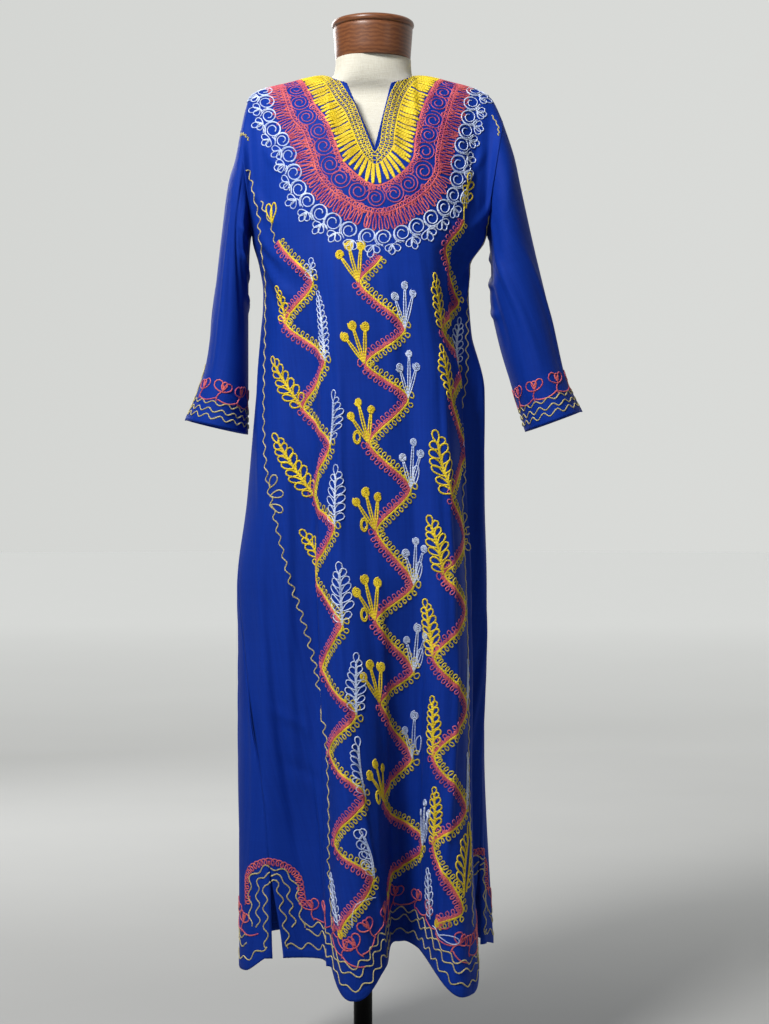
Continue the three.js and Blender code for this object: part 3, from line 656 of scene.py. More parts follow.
def yoke(piece, shares, foot, rows):
    """Points between the underarm level and the top edge, at rows from 0 to 1."""
    top = top_edge(piece, shares)
    s = np.abs(shares)
    outwards = -1 if piece == "front" else 1
    rise = top[:, 2] - foot[:, 2]
    reach = np.abs(top[:, 1] - foot[:, 1])
    neck, shoulder, armhole = YOKE_NECK, YOKE_SHOULDER, YOKE_ARMHOLE
    at_armhole = smooth((s - armhole["start"]) / armhole["width"])
    over_shoulder = smooth((s - shoulder["start"]) / shoulder["width"])
    lower_out = mix(0, armhole["lower_out"], at_armhole)
    lower_up = mix(neck["lower_up"] * rise, armhole["lower_up"], at_armhole)
    shoulder_out = mix(shoulder["upper_out"] * reach, armhole["upper_out"], at_armhole)
    shoulder_down = mix(shoulder["upper_down"], armhole["upper_down"], at_armhole)
    upper_out = mix(neck["upper_out"] * reach, shoulder_out, over_shoulder)
    upper_down = mix(neck["upper_down"] * rise, shoulder_down, over_shoulder)
    zero = np.zeros_like(s)
    first = foot + np.stack([zero, outwards * lower_out, lower_up], -1)
    last = top + np.stack([zero, outwards * upper_out, -upper_down], -1)
    t = rows[:, None, None]
    u = 1 - t
    points = u**3 * foot + 3 * u * u * t * first + 3 * u * t * t * last + t**3 * top
    crease = ARMPIT_DEPTH * bell((s - ARMPIT_SHARE) / ARMPIT_WIDTH) * np.sin(np.pi * rows)[:, None]
    points[..., 1] -= outwards * crease
    return points


def grid_normals(grid, joined_from=None):
    """Unit normals of a grid: across the columns, then up the rows. Rows from joined_from up are tubes."""
    across = np.gradient(grid, axis=1)
    if joined_from is not None:
        across[joined_from:, [0, -1]] = (grid[joined_from:, 1] - grid[joined_from:, -2])[:, None]
    return unit(np.cross(across, np.gradient(grid, axis=0)))


def crease_heights(creases, flat):
    """How far each point of the flat cloth is raised by the creases."""
    raised = np.zeros(flat.shape[:-1])
    for x0, y0, x1, y1, width, height, bow in creases:
        start = np.array((x0, y0), float)
        way = np.array((x1, y1), float) - start
        length = np.linalg.norm(way)
        way /= length
        away = flat - start
        arc = np.sin(np.pi * np.clip((away @ way) / length, 0, 1))
        across = away[..., 0] * -way[1] + away[..., 1] * way[0] - bow * arc
        raised += height * bell(across / width) * arc**CREASE_TAPER
    return raised


class Surface:
    """A piece of cloth: its outer points and normals by row and column, and the same points laid flat."""

    def __init__(self, points, flat, normals, joined_from=None):
        self.points = points
        self.flat = flat
        self.normals = normals
        self.joined_from = joined_from
        rows, columns = flat.shape[:2]
        r, c = np.meshgrid(np.arange(rows - 1), np.arange(columns - 1), indexing="ij")
        at = (r * columns + c).ravel()
        lower = np.stack([at, at + 1, at + columns + 1], -1)
        upper = np.stack([at, at + columns + 1, at + columns], -1)
        self.triangles = np.concatenate([lower, upper])
        self.flat_points = flat.reshape(-1, 2)
        corners = [(x, y, 0.0) for x, y in self.flat_points]
        self.flat_tree = BVHTree.FromPolygons(corners, self.triangles.tolist())
        self.tree = BVHTree.FromPolygons(points.reshape(-1, 3).tolist(), self.triangles.tolist())

    def weights(self, triangle, xy):
        """Barycentric weights of flat points in their triangles."""
        a, b, c = (self.flat_points[self.triangles[triangle, k]] for k in range(3))
        ab, ac, ap = b - a, c - a, xy - a
        area = ab[:, 0] * ac[:, 1] - ab[:, 1] * ac[:, 0]
        area = np.where(np.abs(area) < 1e-9, 1e-9, area)
        v = (ap[:, 0] * ac[:, 1] - ap[:, 1] * ac[:, 0]) / area
        w = (ab[:, 0] * ap[:, 1] - ab[:, 1] * ap[:, 0]) / area
        return np.stack([1 - v - w, v, w], -1)

    def hung(self, xy):
        """Points and normals on the hanging cloth, and whether each flat point is on the piece."""
        found = [self.flat_tree.find_nearest((x, y, 0.0)) for x, y in xy]
        triangle = np.array([f[2] for f in found])
        near = np.array([f[0][:2] for f in found])
        inside = np.array([f[3] for f in found]) < STITCH_OFF
        weights = self.weights(triangle, near)[..., None]
        corner = self.triangles[triangle]
        p = (self.points.reshape(-1, 3)[corner] * weights).sum(1)
        n = (self.normals.reshape(-1, 3)[corner] * weights).sum(1)
        return p, unit(n), inside

    def flat_at(self, x, z, direction=1):
        """Flat point of what is seen at x and z along Y."""
        hit = self.tree.ray_cast(Vector((x, -direction * SEEN_FROM, z)), Vector((0, direction, 0)))
        if hit[0] is None:
            hit = self.tree.find_nearest(Vector((x, -direction * NEAR_FROM, z)))
        corner = self.triangles[hit[2]]
        a, b, c = self.points.reshape(-1, 3)[corner]
        normal = np.cross(b - a, c - a)
        p = np.array(hit[0])
        area = normal @ normal
        v = np.cross(p - a, c - a) @ normal / area
        w = np.cross(b - a, p - a) @ normal / area
        return (self.flat_points[corner] * np.array((1 - v - w, v, w))[:, None]).sum(0)

    def edge_x(self, y, side):
        """Flat x of the piece's side edge at flat heights."""
        edge = self.flat[: self.skirt_rows + 1, 0 if side < 0 else -1]
        return np.interp(y, edge[:, 1], edge[:, 0])

    def hem_y(self, x):
        """Flat height of the hem at flat x."""
        return np.interp(x, self.flat[0, :, 0], self.flat[0, :, 1])


def body_grid(piece, columns):
    """Points, flat points and number of skirt rows of a body piece, in rows from hem to top edge."""
    shares = np.linspace(-1, 1, columns + 1)
    azimuths, from_middle = azimuth_table(piece, shares)
    low = hem_height(straight(HEM_Z, TABLE_Z, azimuths))
    tall = UNDERARM_Z - HEM_Z
    above = np.arange(HEM_ROWS[-1] + SKIRT_STEP, tall - SKIRT_STEP / 2, SKIRT_STEP)
    v = np.concatenate([np.array(HEM_ROWS, float), above, [tall]]) / tall
    z = mix(low, UNDERARM_Z, v[:, None])
    azimuth, distance = (
        np.stack([np.interp(z[:, c], TABLE_Z, table[:, c]) for c in range(len(shares))], 1)
        for table in (azimuths, from_middle)
    )
    skirt = hanging(azimuth, z)
    skirt_flat = np.stack([distance, z - UNDERARM_Z], -1)
    t = np.arange(1, YOKE_ROWS + 1) / YOKE_ROWS
    top = yoke(piece, shares, skirt[-1], t)
    middle = columns // 2
    facing = 1 if piece == "front" else -1
    x = facing * (top[..., 0] - top[:, middle : middle + 1, 0])
    foot_x = facing * (skirt[-1, :, 0] - skirt[-1, middle, 0])
    x = x + (distance[-1] - foot_x) * ((1 - t) ** 2)[:, None]
    steps = np.diff(np.concatenate([skirt[-1:], top]), axis=0)
    y = np.cumsum(np.linalg.norm(steps[..., 1:], axis=-1), axis=0)
    points = np.concatenate([skirt, top])
    flat = np.concatenate([skirt_flat, np.stack([x, y], -1)])
    return points, flat, len(v) - 1


def body_piece(piece, columns):
    """Points, flat points and normals of a body piece with its creases and turned hem, and its skirt rows."""
    grid, flat, skirt_rows = body_grid(piece, columns)
    raised = crease_heights(CREASES[piece], flat)
    turned_up = np.where(grid[..., 2] - grid[:1, :, 2] < HEM_TURN_UP, HEM_TURN_THICKNESS, 0)
    turned_up[skirt_rows:] = 0
    grid = grid + grid_normals(grid) * (raised + turned_up)[..., None]
    return grid, flat, grid_normals(grid), skirt_rows


def join_sides():
    """Gives both pieces one normal and one place at a side seam, apart from half of the seam gap each."""
    rows = slice(0, skirt_rows + 1)
    for edges in ({"front": (0, 1), "back": (-1, -2)}, {"front": (-1, -2), "back": (0, 1)}):
        shared = unit(sum(normals[piece][rows, column] for piece, (column, _) in edges.items()))
        for piece, (column, beside) in edges.items():
            grid = grids[piece]
            inwards = grid[rows, beside] - grid[rows, column]
            inwards = unit(inwards - (inwards * shared).sum(-1, keepdims=True) * shared)
            grid[rows, column] += inwards * SEAM_GAP / 2
            normals[piece][rows, column] = shared


def level_shoulders():
    """Lays the cloth level across the shoulder seams, apart from half of the seam gap on each side."""
    for piece, columns in COLUMNS.items():
        row = grids[piece][-1]
        seam = np.gradient(row, axis=0)
        up = unit(np.stack([-seam[:, 2], np.zeros(columns + 1), seam[:, 0]], -1))
        up = np.where(up[:, 2:] < 0, -up, up)
        on_shoulder = np.abs(np.linspace(-1, 1, columns + 1)) >= NECK_SHARE - SHARE_SLACK
        normals[piece][-1, on_shoulder] = up[on_shoulder]
        row[on_shoulder, 1] += (-1 if piece == "front" else 1) * SEAM_GAP / 2


grids, flats, normals = {}, {}, {}
for piece, columns in COLUMNS.items():
    grids[piece], flats[piece], normals[piece], skirt_rows = body_piece(piece, columns)
join_sides()
level_shoulders()


def section_point(section, turn):
    """Points of a sleeve section. The turn is 0 at the outer edge and goes on by the front."""
    outer_x, outer_z, inner_x, inner_z, front, back = section
    a = 2 * np.pi * turn
    outer = (1 + np.cos(a)) / 2
    y = SLEEVE_Y - np.sin(a) * np.where(np.sin(a) > 0, front, back)
    return np.stack([mix(inner_x, outer_x, outer), y, mix(inner_z, outer_z, outer)], -1)


def armhole(side):
    """Points, normals and directions into the sleeve, from the shoulder down the front and up the back."""
    first, final = (0, 1), (-1, -2)
    front_columns, back_columns = (first, final) if side == "left" else (final, first)
    front, beside_front = (grids["front"][skirt_rows:, column][::-1] for column in front_columns)
    back, beside_back = (grids["back"][skirt_rows + 1 :, column] for column in back_columns)
    points = np.concatenate([front, back])
    from_body = unit(points - np.concatenate([beside_front, beside_back]))
    last = len(points) - 1
    tangent = np.roll(points, -1, axis=0) - np.roll(points, 1, axis=0)
    tangent[[0, last]] = points[1] - points[last - 1]
    tangent = unit(tangent)
    turn = np.arange(last + 1) / last
    to_sleeve = unit(section_point(SLEEVES[side][0], turn) - points)
    across = from_body + to_sleeve
    underarm = len(front) - 1
    across[underarm] = (-1 if side == "left" else 1, 0, 0)
    across = unit(across - (across * tangent).sum(-1, keepdims=True) * tangent)
    normal = unit(np.cross(tangent, across))
    outwards = points - points.mean(0)
    outwards[underarm] = (0, 0, -1)
    normal = np.where((normal * outwards).sum(-1, keepdims=True) < 0, -normal, normal)
    for _ in range(3):
        inner = unit(normal[:-2] + normal[1:-1] + normal[2:])
        normal[1:-1] = inner
    return points, normal, across, turn


def sleeve(side):
    """Surface of a sleeve, in rows from the cuff up. Seen from outside, its columns run to the right."""
    points, rim, across, turn = armhole(side)
    start = points + across * ARMHOLE_GAP
    stations = np.stack([start] + [section_point(s, turn) for s in SLEEVES[side]])
    place = np.arange(SLEEVE_ROWS + 1) / SLEEVE_ROWS
    grid = through(stations, 1 - place)
    open_by = smooth(1 - place * SLEEVE_TABLE_ROWS / CUFF_SLIT_ROWS)[:, None]
    grid[:, 0] += open_by * np.array(CUFF_PARTING[side]["front"])
    grid[:, -1] += open_by * np.array(CUFF_PARTING[side]["back"])
    if side == "right":
        grid = grid[:, ::-1]
        rim = rim[::-1]
    joined_from = int(np.ceil(SLEEVE_ROWS * CUFF_SLIT_ROWS / SLEEVE_TABLE_ROWS))
    normal = grid_normals(grid, joined_from)
    round_steps = np.linalg.norm(np.diff(grid, axis=1), axis=-1)
    x = np.concatenate([np.zeros((len(grid), 1)), np.cumsum(round_steps, axis=1)], axis=1)
    up_steps = np.linalg.norm(np.diff(grid, axis=0), axis=-1)
    y = np.concatenate([np.zeros((1, grid.shape[1])), np.cumsum(up_steps, axis=0)])
    flat = np.stack([x, y], -1)
    raised = crease_heights(CREASES[side], flat)
    edge = (smooth((1 - place) * CREASE_FADE["armhole"]) * smooth(place * CREASE_FADE["cuff"]))[:, None]
    turned_up = np.where(y < HEM_TURN_UP, HEM_TURN_THICKNESS, 0)
    grid = grid + normal * (raised * edge + turned_up)[..., None]
    grid[joined_from:, -1] = grid[joined_from:, 0]
    normal = grid_normals(grid, joined_from)
    normal[-1] = rim
    return Surface(grid, flat, normal, joined_from)


cloth = {}
for piece in ("front", "back"):
    cloth[piece] = Surface(grids[piece], flats[piece], normals[piece])
    cloth[piece].skirt_rows = skirt_rows
for side in ("left", "right"):
    cloth[side] = sleeve(side)


# Meshes
def made(name, vertices, faces, look, uv=None):
    """A smooth mesh object from vertices in millimetres, which rides with the part. Its look is a material
    and a slot, and the slot is not used."""
    material, slot = look
    mesh = bpy.data.meshes.new(name)
    mesh.from_pydata((np.asarray(vertices) * MM).tolist(), [], [list(map(int, f)) for f in faces])
    if uv is not None:
        layer = mesh.uv_layers.new(name="UVMap")
        layer.data.foreach_set("uv", (np.asarray(uv) * MM).ravel())
    mesh.polygons.foreach_set("use_smooth", [True] * len(mesh.polygons))
    mesh.materials.append(material)
    mesh.validate()
    obj = bpy.data.objects.new(name, mesh)
    bpy.context.scene.collection.objects.link(obj)
    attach(obj, "root")
    return obj


def shell(name, surface, look):
    """Closed wall of cloth between a surface and the same surface moved in by its thickness."""
    rows, columns = surface.flat.shape[:2]
    joined = rows if surface.joined_from is None else surface.joined_from
    inner = surface.points - surface.normals * CLOTH
    r, c = (a.ravel() for a in np.meshgrid(np.arange(rows - 1), np.arange(columns - 1), indexing="ij"))
    zero, one = np.zeros_like(r), np.ones_like(r)

    def quads(*corners):
        return np.stack([np.stack(np.broadcast_arrays(*corner), -1) for corner in corners], 1)

    side_r = np.arange(min(joined, rows - 1))
    end_c = np.arange(columns - 1)
    last_r, last_c = rows - 1, columns - 1
    faces = np.concatenate([
        quads((zero, r, c), (zero, r, c + 1), (zero, r + 1, c + 1), (zero, r + 1, c)),
        quads((one, r, c), (one, r + 1, c), (one, r + 1, c + 1), (one, r, c + 1)),
        quads((0, side_r, 0), (0, side_r + 1, 0), (1, side_r + 1, 0), (1, side_r, 0)),
        quads((0, side_r, last_c), (1, side_r, last_c), (1, side_r + 1, last_c), (0, side_r + 1, last_c)),
        quads((0, 0, end_c), (1, 0, end_c), (1, 0, end_c + 1), (0, 0, end_c + 1)),
        quads((0, last_r, end_c), (0, last_r, end_c + 1), (1, last_r, end_c + 1), (1, last_r, end_c)),
    ])
    layer, row, column = faces[..., 0], faces[..., 1], faces[..., 2]
    uv = surface.flat[row, column]
    column = np.where((column == last_c) & (row >= joined), 0, column)
    ids = (layer * rows + row) * columns + column
    used, ids = np.unique(ids, return_inverse=True)
    vertices = np.concatenate([surface.points.reshape(-1, 3), inner.reshape(-1, 3)])[used]
    return made(name, vertices, ids.reshape(-1, 4), look, uv)


def tubes(name, runs, width, height, look):
    """Rows of stitches: each run is its points, normals and distances along it."""
    vertices, faces, uv = [], [], []
    count = 0
    for points, normal, distance in runs:
        n = len(points)
        tangent = unit(np.gradient(points, axis=0))
        side = unit(np.cross(normal, tangent))
        swell = 1 + LINK_SWELL * np.where(np.arange(n) % 2 == 0, 1, -1)
        half = (width / 2 * swell)[:, None]
        ring = np.stack([
            points - side * half,
            points + normal * (height * swell)[:, None],
            points + side * half,
            points - normal * STITCH_DEPTH,
        ], 1)
        vertices.append(ring.reshape(-1, 3))
        i = np.arange(n - 1)[:, None] * 4 + count
        k = np.arange(4)[None]
        nxt = (k + 1) % 4
        quads = np.stack([i + k, i + nxt, i + 4 + nxt, i + 4 + k], -1).reshape(-1, 4)
        ends = np.array([[3, 2, 1, 0], [4 * n - 4, 4 * n - 3, 4 * n - 2, 4 * n - 1]]) + count
        faces.append(quads)
        faces.append(ends)
        d = np.broadcast_to(distance[:-1, None], (n - 1, 4))
        e = np.broadcast_to(distance[1:, None], (n - 1, 4))
        low = np.broadcast_to(k, (n - 1, 4)) * 1.0
        high = low + 1
        uv.append(np.stack([np.stack([d, low], -1), np.stack([d, high], -1),
                            np.stack([e, high], -1), np.stack([e, low], -1)], 2).reshape(-1, 2))
        uv.append(np.zeros((8, 2)))
        count += 4 * n
    return made(name, np.concatenate(vertices), np.concatenate(faces), look, np.concatenate(uv))


def resampled(line, step):
    line = np.asarray(line, float)
    lengths = distances(line)
    count = max(2, int(np.ceil(lengths[-1] / step)) + 1)
    at = np.linspace(0, lengths[-1], count)
    return straight(at, lengths, line), at


def stitched(name, surface, lines, width, lift, look):
    """Stitch lines of the flat cloth laid on the hanging cloth, cut where they leave the piece."""
    lines = [resampled(line, STITCH_STEP) for line in lines]
    p, n, inside = surface.hung(np.concatenate([line for line, _ in lines]))
    p = p + n * lift
    runs = []
    start = 0
    for line, at in lines:
        end = start + len(line)
        on = np.flatnonzero(inside[start:end])
        for run in np.split(on, np.flatnonzero(np.diff(on) > 1) + 1):
            if len(run) > 2:
                k = start + run
                runs.append((p[k], n[k], at[run]))
        start = end
    return tubes(name, runs, width, STITCH_HEIGHT, look)


def turned(name, profile, centre, look, node):
    """A turned solid about an upright axis, which stands for a node."""
    profile = np.array(profile, float)
    ring = np.linspace(0, 2 * np.pi, ROUND_SIDES, endpoint=False)
    vertices, rows = [], []
    for radius, height in profile:
        if radius < 1e-6:
            rows.append([len(vertices)] * ROUND_SIDES)
            vertices.append((0, 0, height))
            continue
        rows.append(list(range(len(vertices), len(vertices) + ROUND_SIDES)))
        vertices += [(radius * math.cos(a), radius * math.sin(a), height) for a in ring]
    distance = distances(profile)
    faces, uv = [], []
    for k, (low, high) in enumerate(zip(rows, rows[1:])):
        for i in range(ROUND_SIDES):
            j = (i + 1) % ROUND_SIDES
            face, corners = [], []
            for row, column, place, turn in (
                (low, i, k, i), (low, j, k, i + 1), (high, j, k + 1, i + 1), (high, i, k + 1, i),
            ):
                if row[column] not in face:
                    face.append(row[column])
                    corners.append((turn / ROUND_SIDES * 1000, distance[place]))
            if len(face) > 2:
                faces.append(face)
                uv += corners
    obj = made(name, np.array(vertices, float) + np.array(centre, float), faces, look, uv)
    obj.data.set_sharp_from_angle(angle=math.radians(ROUND_SHARP_DEG))
    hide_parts(node)
    return obj


# Patterns on flat cloth
class Path:
    """A line on flat cloth, followed by the distance along it."""

    def __init__(self, points):
        self.points = np.asarray(points, float)
        self.distance = distances(self.points)
        self.length = self.distance[-1]

    def at(self, s):
        return straight(s, self.distance, self.points)

    def left(self, s):
        """Unit vector to the left of the line."""
        ahead = self.at(np.minimum(np.asarray(s) + 1.5, self.length))
        behind = self.at(np.maximum(np.asarray(s) - 1.5, 0))
        way = unit(ahead - behind)
        return np.stack([-way[..., 1], way[..., 0]], -1)

    def off(self, s, across):
        return self.at(s) + np.asarray(across)[..., None] * self.left(s)

    def placed(self, s, shapes):
        """Shapes drawn along and to the left of the line, put at a distance along it."""
        origin = self.at(s)
        left = self.left(s)
        way = np.array((left[1], -left[0]))
        return [origin + shape[:, :1] * way + shape[:, 1:] * left for shape in shapes]


def jitter(amount):
    return 1 + amount * random.uniform(-1, 1)


def spaced(path, pitch, wander):
    """Distances of motifs repeated along a path, each a little off its place."""
    count = round(path.length / pitch)
    for i in range(count):
        yield (i + 0.5 + wander * random.uniform(-1, 1)) * path.length / count


def loops(path, pitch, tall, wide, start=0.0, side=1):
    """A running line of round loops beside a path."""
    count = max(1, round(path.length / pitch))
    turn = np.linspace(0, 2 * np.pi * count, count * LOOP_POINTS + 1)
    s = path.length * turn / (2 * np.pi * count) + wide / 2 * np.sin(turn)
    sizes = 1 + 0.1 * random.uniform(-1, 1, count + 1)
    size = np.interp(turn / (2 * np.pi), np.arange(count + 1), sizes)
    return path.off(s, side * (start + tall * size * (1 - np.cos(turn)) / 2))


def waves(path, height, length, phase=0.0):
    count = max(1, round(path.length / length))
    s = np.linspace(0, path.length, count * WAVE_POINTS + 1)
    wander = 1 + 0.15 * np.sin(s / 31 + phase)
    return path.off(s, height * wander * np.sin(2 * np.pi * count * s / path.length + phase))


def petal(origin, heading, length, wide):
    """A loop from a point and back to it. Its heading is in degrees from up, clockwise."""
    turn = np.linspace(0, 2 * np.pi, PETAL_POINTS)
    out = length * (1 - np.cos(turn)) / 2
    off = 0.65 * wide * np.sin(turn) * np.sin(turn / 2)
    h = math.radians(heading)
    return np.asarray(origin) + np.stack([out * math.sin(h) + off * math.cos(h),
                                          out * math.cos(h) - off * math.sin(h)], -1)


def spiral(centre, radius, turns, start, hand=1, inner=0.25, tall=1.0):
    t = np.linspace(0, 1, int(SPIRAL_POINTS * turns) + 2)
    angle = math.radians(start) + hand * 2 * np.pi * turns * t
    r = radius * (1 - (1 - inner) * t)
    return np.asarray(centre) + np.stack([r * np.cos(angle), tall * r * np.sin(angle)], -1)


def stem(start, end, bow=0.0):
    t = np.linspace(0, 1, STEM_POINTS)[:, None]
    start, end = np.asarray(start, float), np.asarray(end, float)
    way = end - start
    side = np.array((-way[1], way[0])) / max(np.linalg.norm(way), 1e-9)
    return start + way * t + side * bow * np.sin(np.pi * t)


def berries(base, tips, radius, ring=None):
    """Stems from a base, in double lines, each with a filled berry at its tip."""
    lines = []
    for x, y in tips:
        tip = np.array((x, y)) * jitter(0.07)
        reach = np.linalg.norm(tip)
        heading = tip / reach
        foot = base + tip * (1 - 1.1 * radius / reach)
        across = np.array((heading[1], -heading[0]))
        for side in (-1, 1):
            lines.append(stem(base, foot + across * side * 1.0, side * -1.2))
        size = radius * jitter(0.12)
        lines.append(spiral(base + tip, size, 2.8, random.uniform(0, 360), inner=0.12, tall=1.2))
    if ring is not None:
        lines.append(spiral(base + np.array(ring), 6.0, 1.9, 20, inner=0.5, tall=1.8))
    return lines


def frond(base, heading, length, leaf, wide, sides):
    """A stem with looped leaves at its tip and, by sides, on its left (1), its right (2) or both (3)."""
    base = np.array(base, float)
    h = math.radians(heading)
    way = np.array((math.sin(h), math.cos(h)))
    across = np.array((way[1], -way[0]))
    bend = 3 * random.uniform(-1, 1)
    count = max(2, int(length / (wide + LEAF_GAP)))

    def at(t):
        return base + way * length * t + across * bend * np.sin(np.pi * t)

    spine = np.array([at(k) for k in np.linspace(0, 1, 12)])
    lines = [spine + across * off for off in FROND_LINES]
    for k in range(count):
        t = (k + 0.5) / count
        grown = math.sin(math.pi * (LEAF_GROWTH[0] + LEAF_GROWTH[1] * t))
        for side in (-1, 1):
            if sides & (1 if side < 0 else 2):
                origin = at(t + 0.15 / count * side)
                lean = side * (LEAF_LEAN - LEAF_LEAN_DROP * t) + 5 * random.uniform(-1, 1)
                length_now = leaf * grown * jitter(0.12)
                lines.append(petal(origin, heading + lean, length_now, wide * jitter(0.1)))
    lines.append(petal(at(1), heading, leaf * 0.85, wide))
    return lines


def zigzag(turns, lines):
    """A zigzag band through its turns: a double middle line with round loops along both sides."""
    line = []
    for (x0, y0), (x1, y1) in zip(turns, turns[1:]):
        t = np.linspace(0, 1, ZIGZAG_POINTS, endpoint=False)
        line.append(np.stack([mix(x0, x1, mix(t, smooth(t), 0.6)), mix(y0, y1, t)], -1))
    line = Path(np.concatenate([*line, turns[-1:]]))
    s = np.linspace(0, line.length, int(line.length / 2))
    points = line.at(s)
    reach = ZIGZAG_ROUNDING // 2
    weights = np.hanning(2 * reach + 3)[1:-1]
    weights /= weights.sum()
    padded = np.concatenate([np.repeat(points[:1], reach, 0), points, np.repeat(points[-1:], reach, 0)])
    path = Path(sum(w * padded[k : k + len(points)] for k, w in enumerate(weights)))
    s = np.linspace(0, path.length, int(path.length / 4))
    for colour, off, sway in ZIGZAG_MIDDLES:
        lines[colour].append(path.off(s, off + 0.3 * np.sin(s / sway)))
    for colour, *shape in ZIGZAG_LOOPS:
        lines[colour].append(loops(path, *shape))
    lines["yellow"].append(spiral(turns[-1], *ZIGZAG_END))


def band_lines(inner, outer, lines):
    """Rows of the neck band between points of its inner and of its outer line, all on flat cloth."""
    t = np.linspace(0, 1, BAND_POINTS)
    inner, outer = through(inner, t), through(outer, t)
    breadth = np.linalg.norm(outer - inner, axis=1).mean()

    def row(share):
        return Path(mix(inner, outer, share))

    def loop_rows(colour, rows):
        for share, pitch, tall, wide in rows:
            lines[colour].append(loops(row(share), pitch, tall, wide, 0, -1))

    loop_rows("fine", BAND_FINE_LOOPS)
    start = row(BARS["row"])
    lines["yellow"].append(start.points)
    places = np.arange(BAND_POINTS)
    for s in spaced(start, BARS["pitch"], 0.15):
        place = np.interp(s, start.distance, places)
        a, b = (
            straight(place, places, mix(inner, outer, share))
            for share in (BARS["foot"], BARS["tip"] + BARS["ragged"] * random.uniform(-1, 1))
        )
        way = unit(b - a)
        side = np.array((way[1], -way[0])) * BARS["half"] * jitter(0.12)
        middle = mix(a, b, 0.6)
        outline = list(zip((a, middle, b), BAR_SHAPE))
        bar = [p - side * f for p, f in outline] + [p + side * f for p, f in outline[::-1]]
        lines["yellow"] += [np.array(bar), np.array([a, middle, b])]
    lines["coral"].append(row(BAND_CORAL_EDGE).points)
    loop_rows("coral", BAND_INNER_LOOPS)
    path = row(ROSES["row"])
    reach = breadth * ROSES["reach"]
    for s in spaced(path, reach * ROSES["pitch"], 0.1):
        start_at = 90 + 70 * random.uniform(-1, 1)
        rise = random.uniform(-2, 2)
        shapes = [spiral((0, rise), reach * ROSES["size"] * jitter(0.1), 2.3, start_at, -1, 0.22)]
        for side in (-1, 1):
            centre = (reach * ROSES["bead_along"], reach * side * ROSES["bead_off"])
            shapes.append(spiral(centre, reach * ROSES["bead"] * jitter(0.2), 1.3, start_at, 1, 0.7))
        lines["plum"] += path.placed(s, shapes)
    loop_rows("coral", BAND_OUTER_LOOPS)
    path = row(FRINGE["row"])
    for s in spaced(path, FRINGE["pitch"], 0.15):
        heading = 180 + 7 * random.uniform(-1, 1)
        shape = petal((0, 0), heading, breadth * FRINGE["length"] * jitter(0.12), FRINGE["wide"])
        lines["coral"] += path.placed(s, [shape])
    path = row(SCROLLS["row"])
    for s in spaced(path, SCROLLS["pitch"], 0.08):
        radius = SCROLLS["radius"] * jitter(0.08)
        start_at = 235 + 30 * random.uniform(-1, 1)
        shapes = [
            spiral((0, 2), radius, SCROLLS["turns"], start_at, -1, 0.3),
            spiral((0.3, 2.3), radius - SCROLLS["apart"], 0.75, start_at + 20, -1, 0.9),
            stem((-14, -8), (-1, -12), 3),
        ]
        for heading, size in SCROLL_LEAVES:
            heading += 9 * random.uniform(-1, 1)
            shapes.append(petal((12, -9), heading, size * jitter(0.12), SCROLLS["leaf_wide"]))
        lines["white"] += path.placed(s, shapes)


def on_top(surface, share):
    """Flat point of the top edge at a share of the half width."""
    columns = surface.flat.shape[1] - 1
    column = (1 + share) / 2 * columns
    return straight(column, np.arange(columns + 1), surface.flat[-1])


def neck_band_front(surface, lines):
    """The band round the front of the neck, from shoulder to shoulder."""
    inner, outer = ([on_top(surface, -share)] for share in BAND_SHOULDER)
    for ax, az, bx, bz in NECK_BAND:
        inner.append(surface.flat_at(ax, az))
        outer.append(surface.flat_at(bx, bz))
    inner.append(on_top(surface, BAND_SHOULDER[0]))
    outer.append(on_top(surface, BAND_SHOULDER[1]))
    band_lines(inner, outer, lines)


def neck_band_back(surface, lines):
    """The band round the back of the neck, from the right shoulder to the left."""
    near, far = BAND_SHOULDER
    inner = [on_top(surface, share) - np.array((0, BACK_BAND_DROP)) for share in np.linspace(-near, near, 9)]
    outer = [surface.flat_at(x, z, -1) for x, z in BACK_BAND]
    band_lines(inner, [on_top(surface, -far), *outer, on_top(surface, far)], lines)


def flowers(path, lines):
    """Coral double loops on bowed stems, linked by arcs, to the left of a path."""
    count = max(2, round(path.length / FLOWER_PITCH))
    pitch = path.length / count
    for i in range(count):
        tilt = 12 * (jitter(1) - 1)
        shapes = [
            stem((0, 0), (2, 16), 3),
            petal((2, 15), -42 + tilt, 19 * jitter(0.1), 13),
            petal((2, 15), 40 + tilt, 18 * jitter(0.1), 12),
            petal((2, 17), tilt, 13 * jitter(0.1), 8),
            stem((1, 3), (pitch - 1, 6), -5),
        ]
        lines["coral"] += path.placed((i + 0.5) * pitch, shapes)


def slit_path(surface, side, inset, rise, low, top):
    """A line up beside a slit, at an inset from the edge, and round over the slit's top."""
    y = np.linspace(low, top, 40)
    upright = np.stack([surface.edge_x(y, side) - side * inset, y], -1)
    bend = np.radians(np.linspace(0, 90, 12))[1:]
    centre = upright[-1] + np.array((side * inset, 0))
    arch = centre + np.stack([-side * inset * np.cos(bend), rise * np.sin(bend)], -1)
    return Path(np.concatenate([upright, arch]))


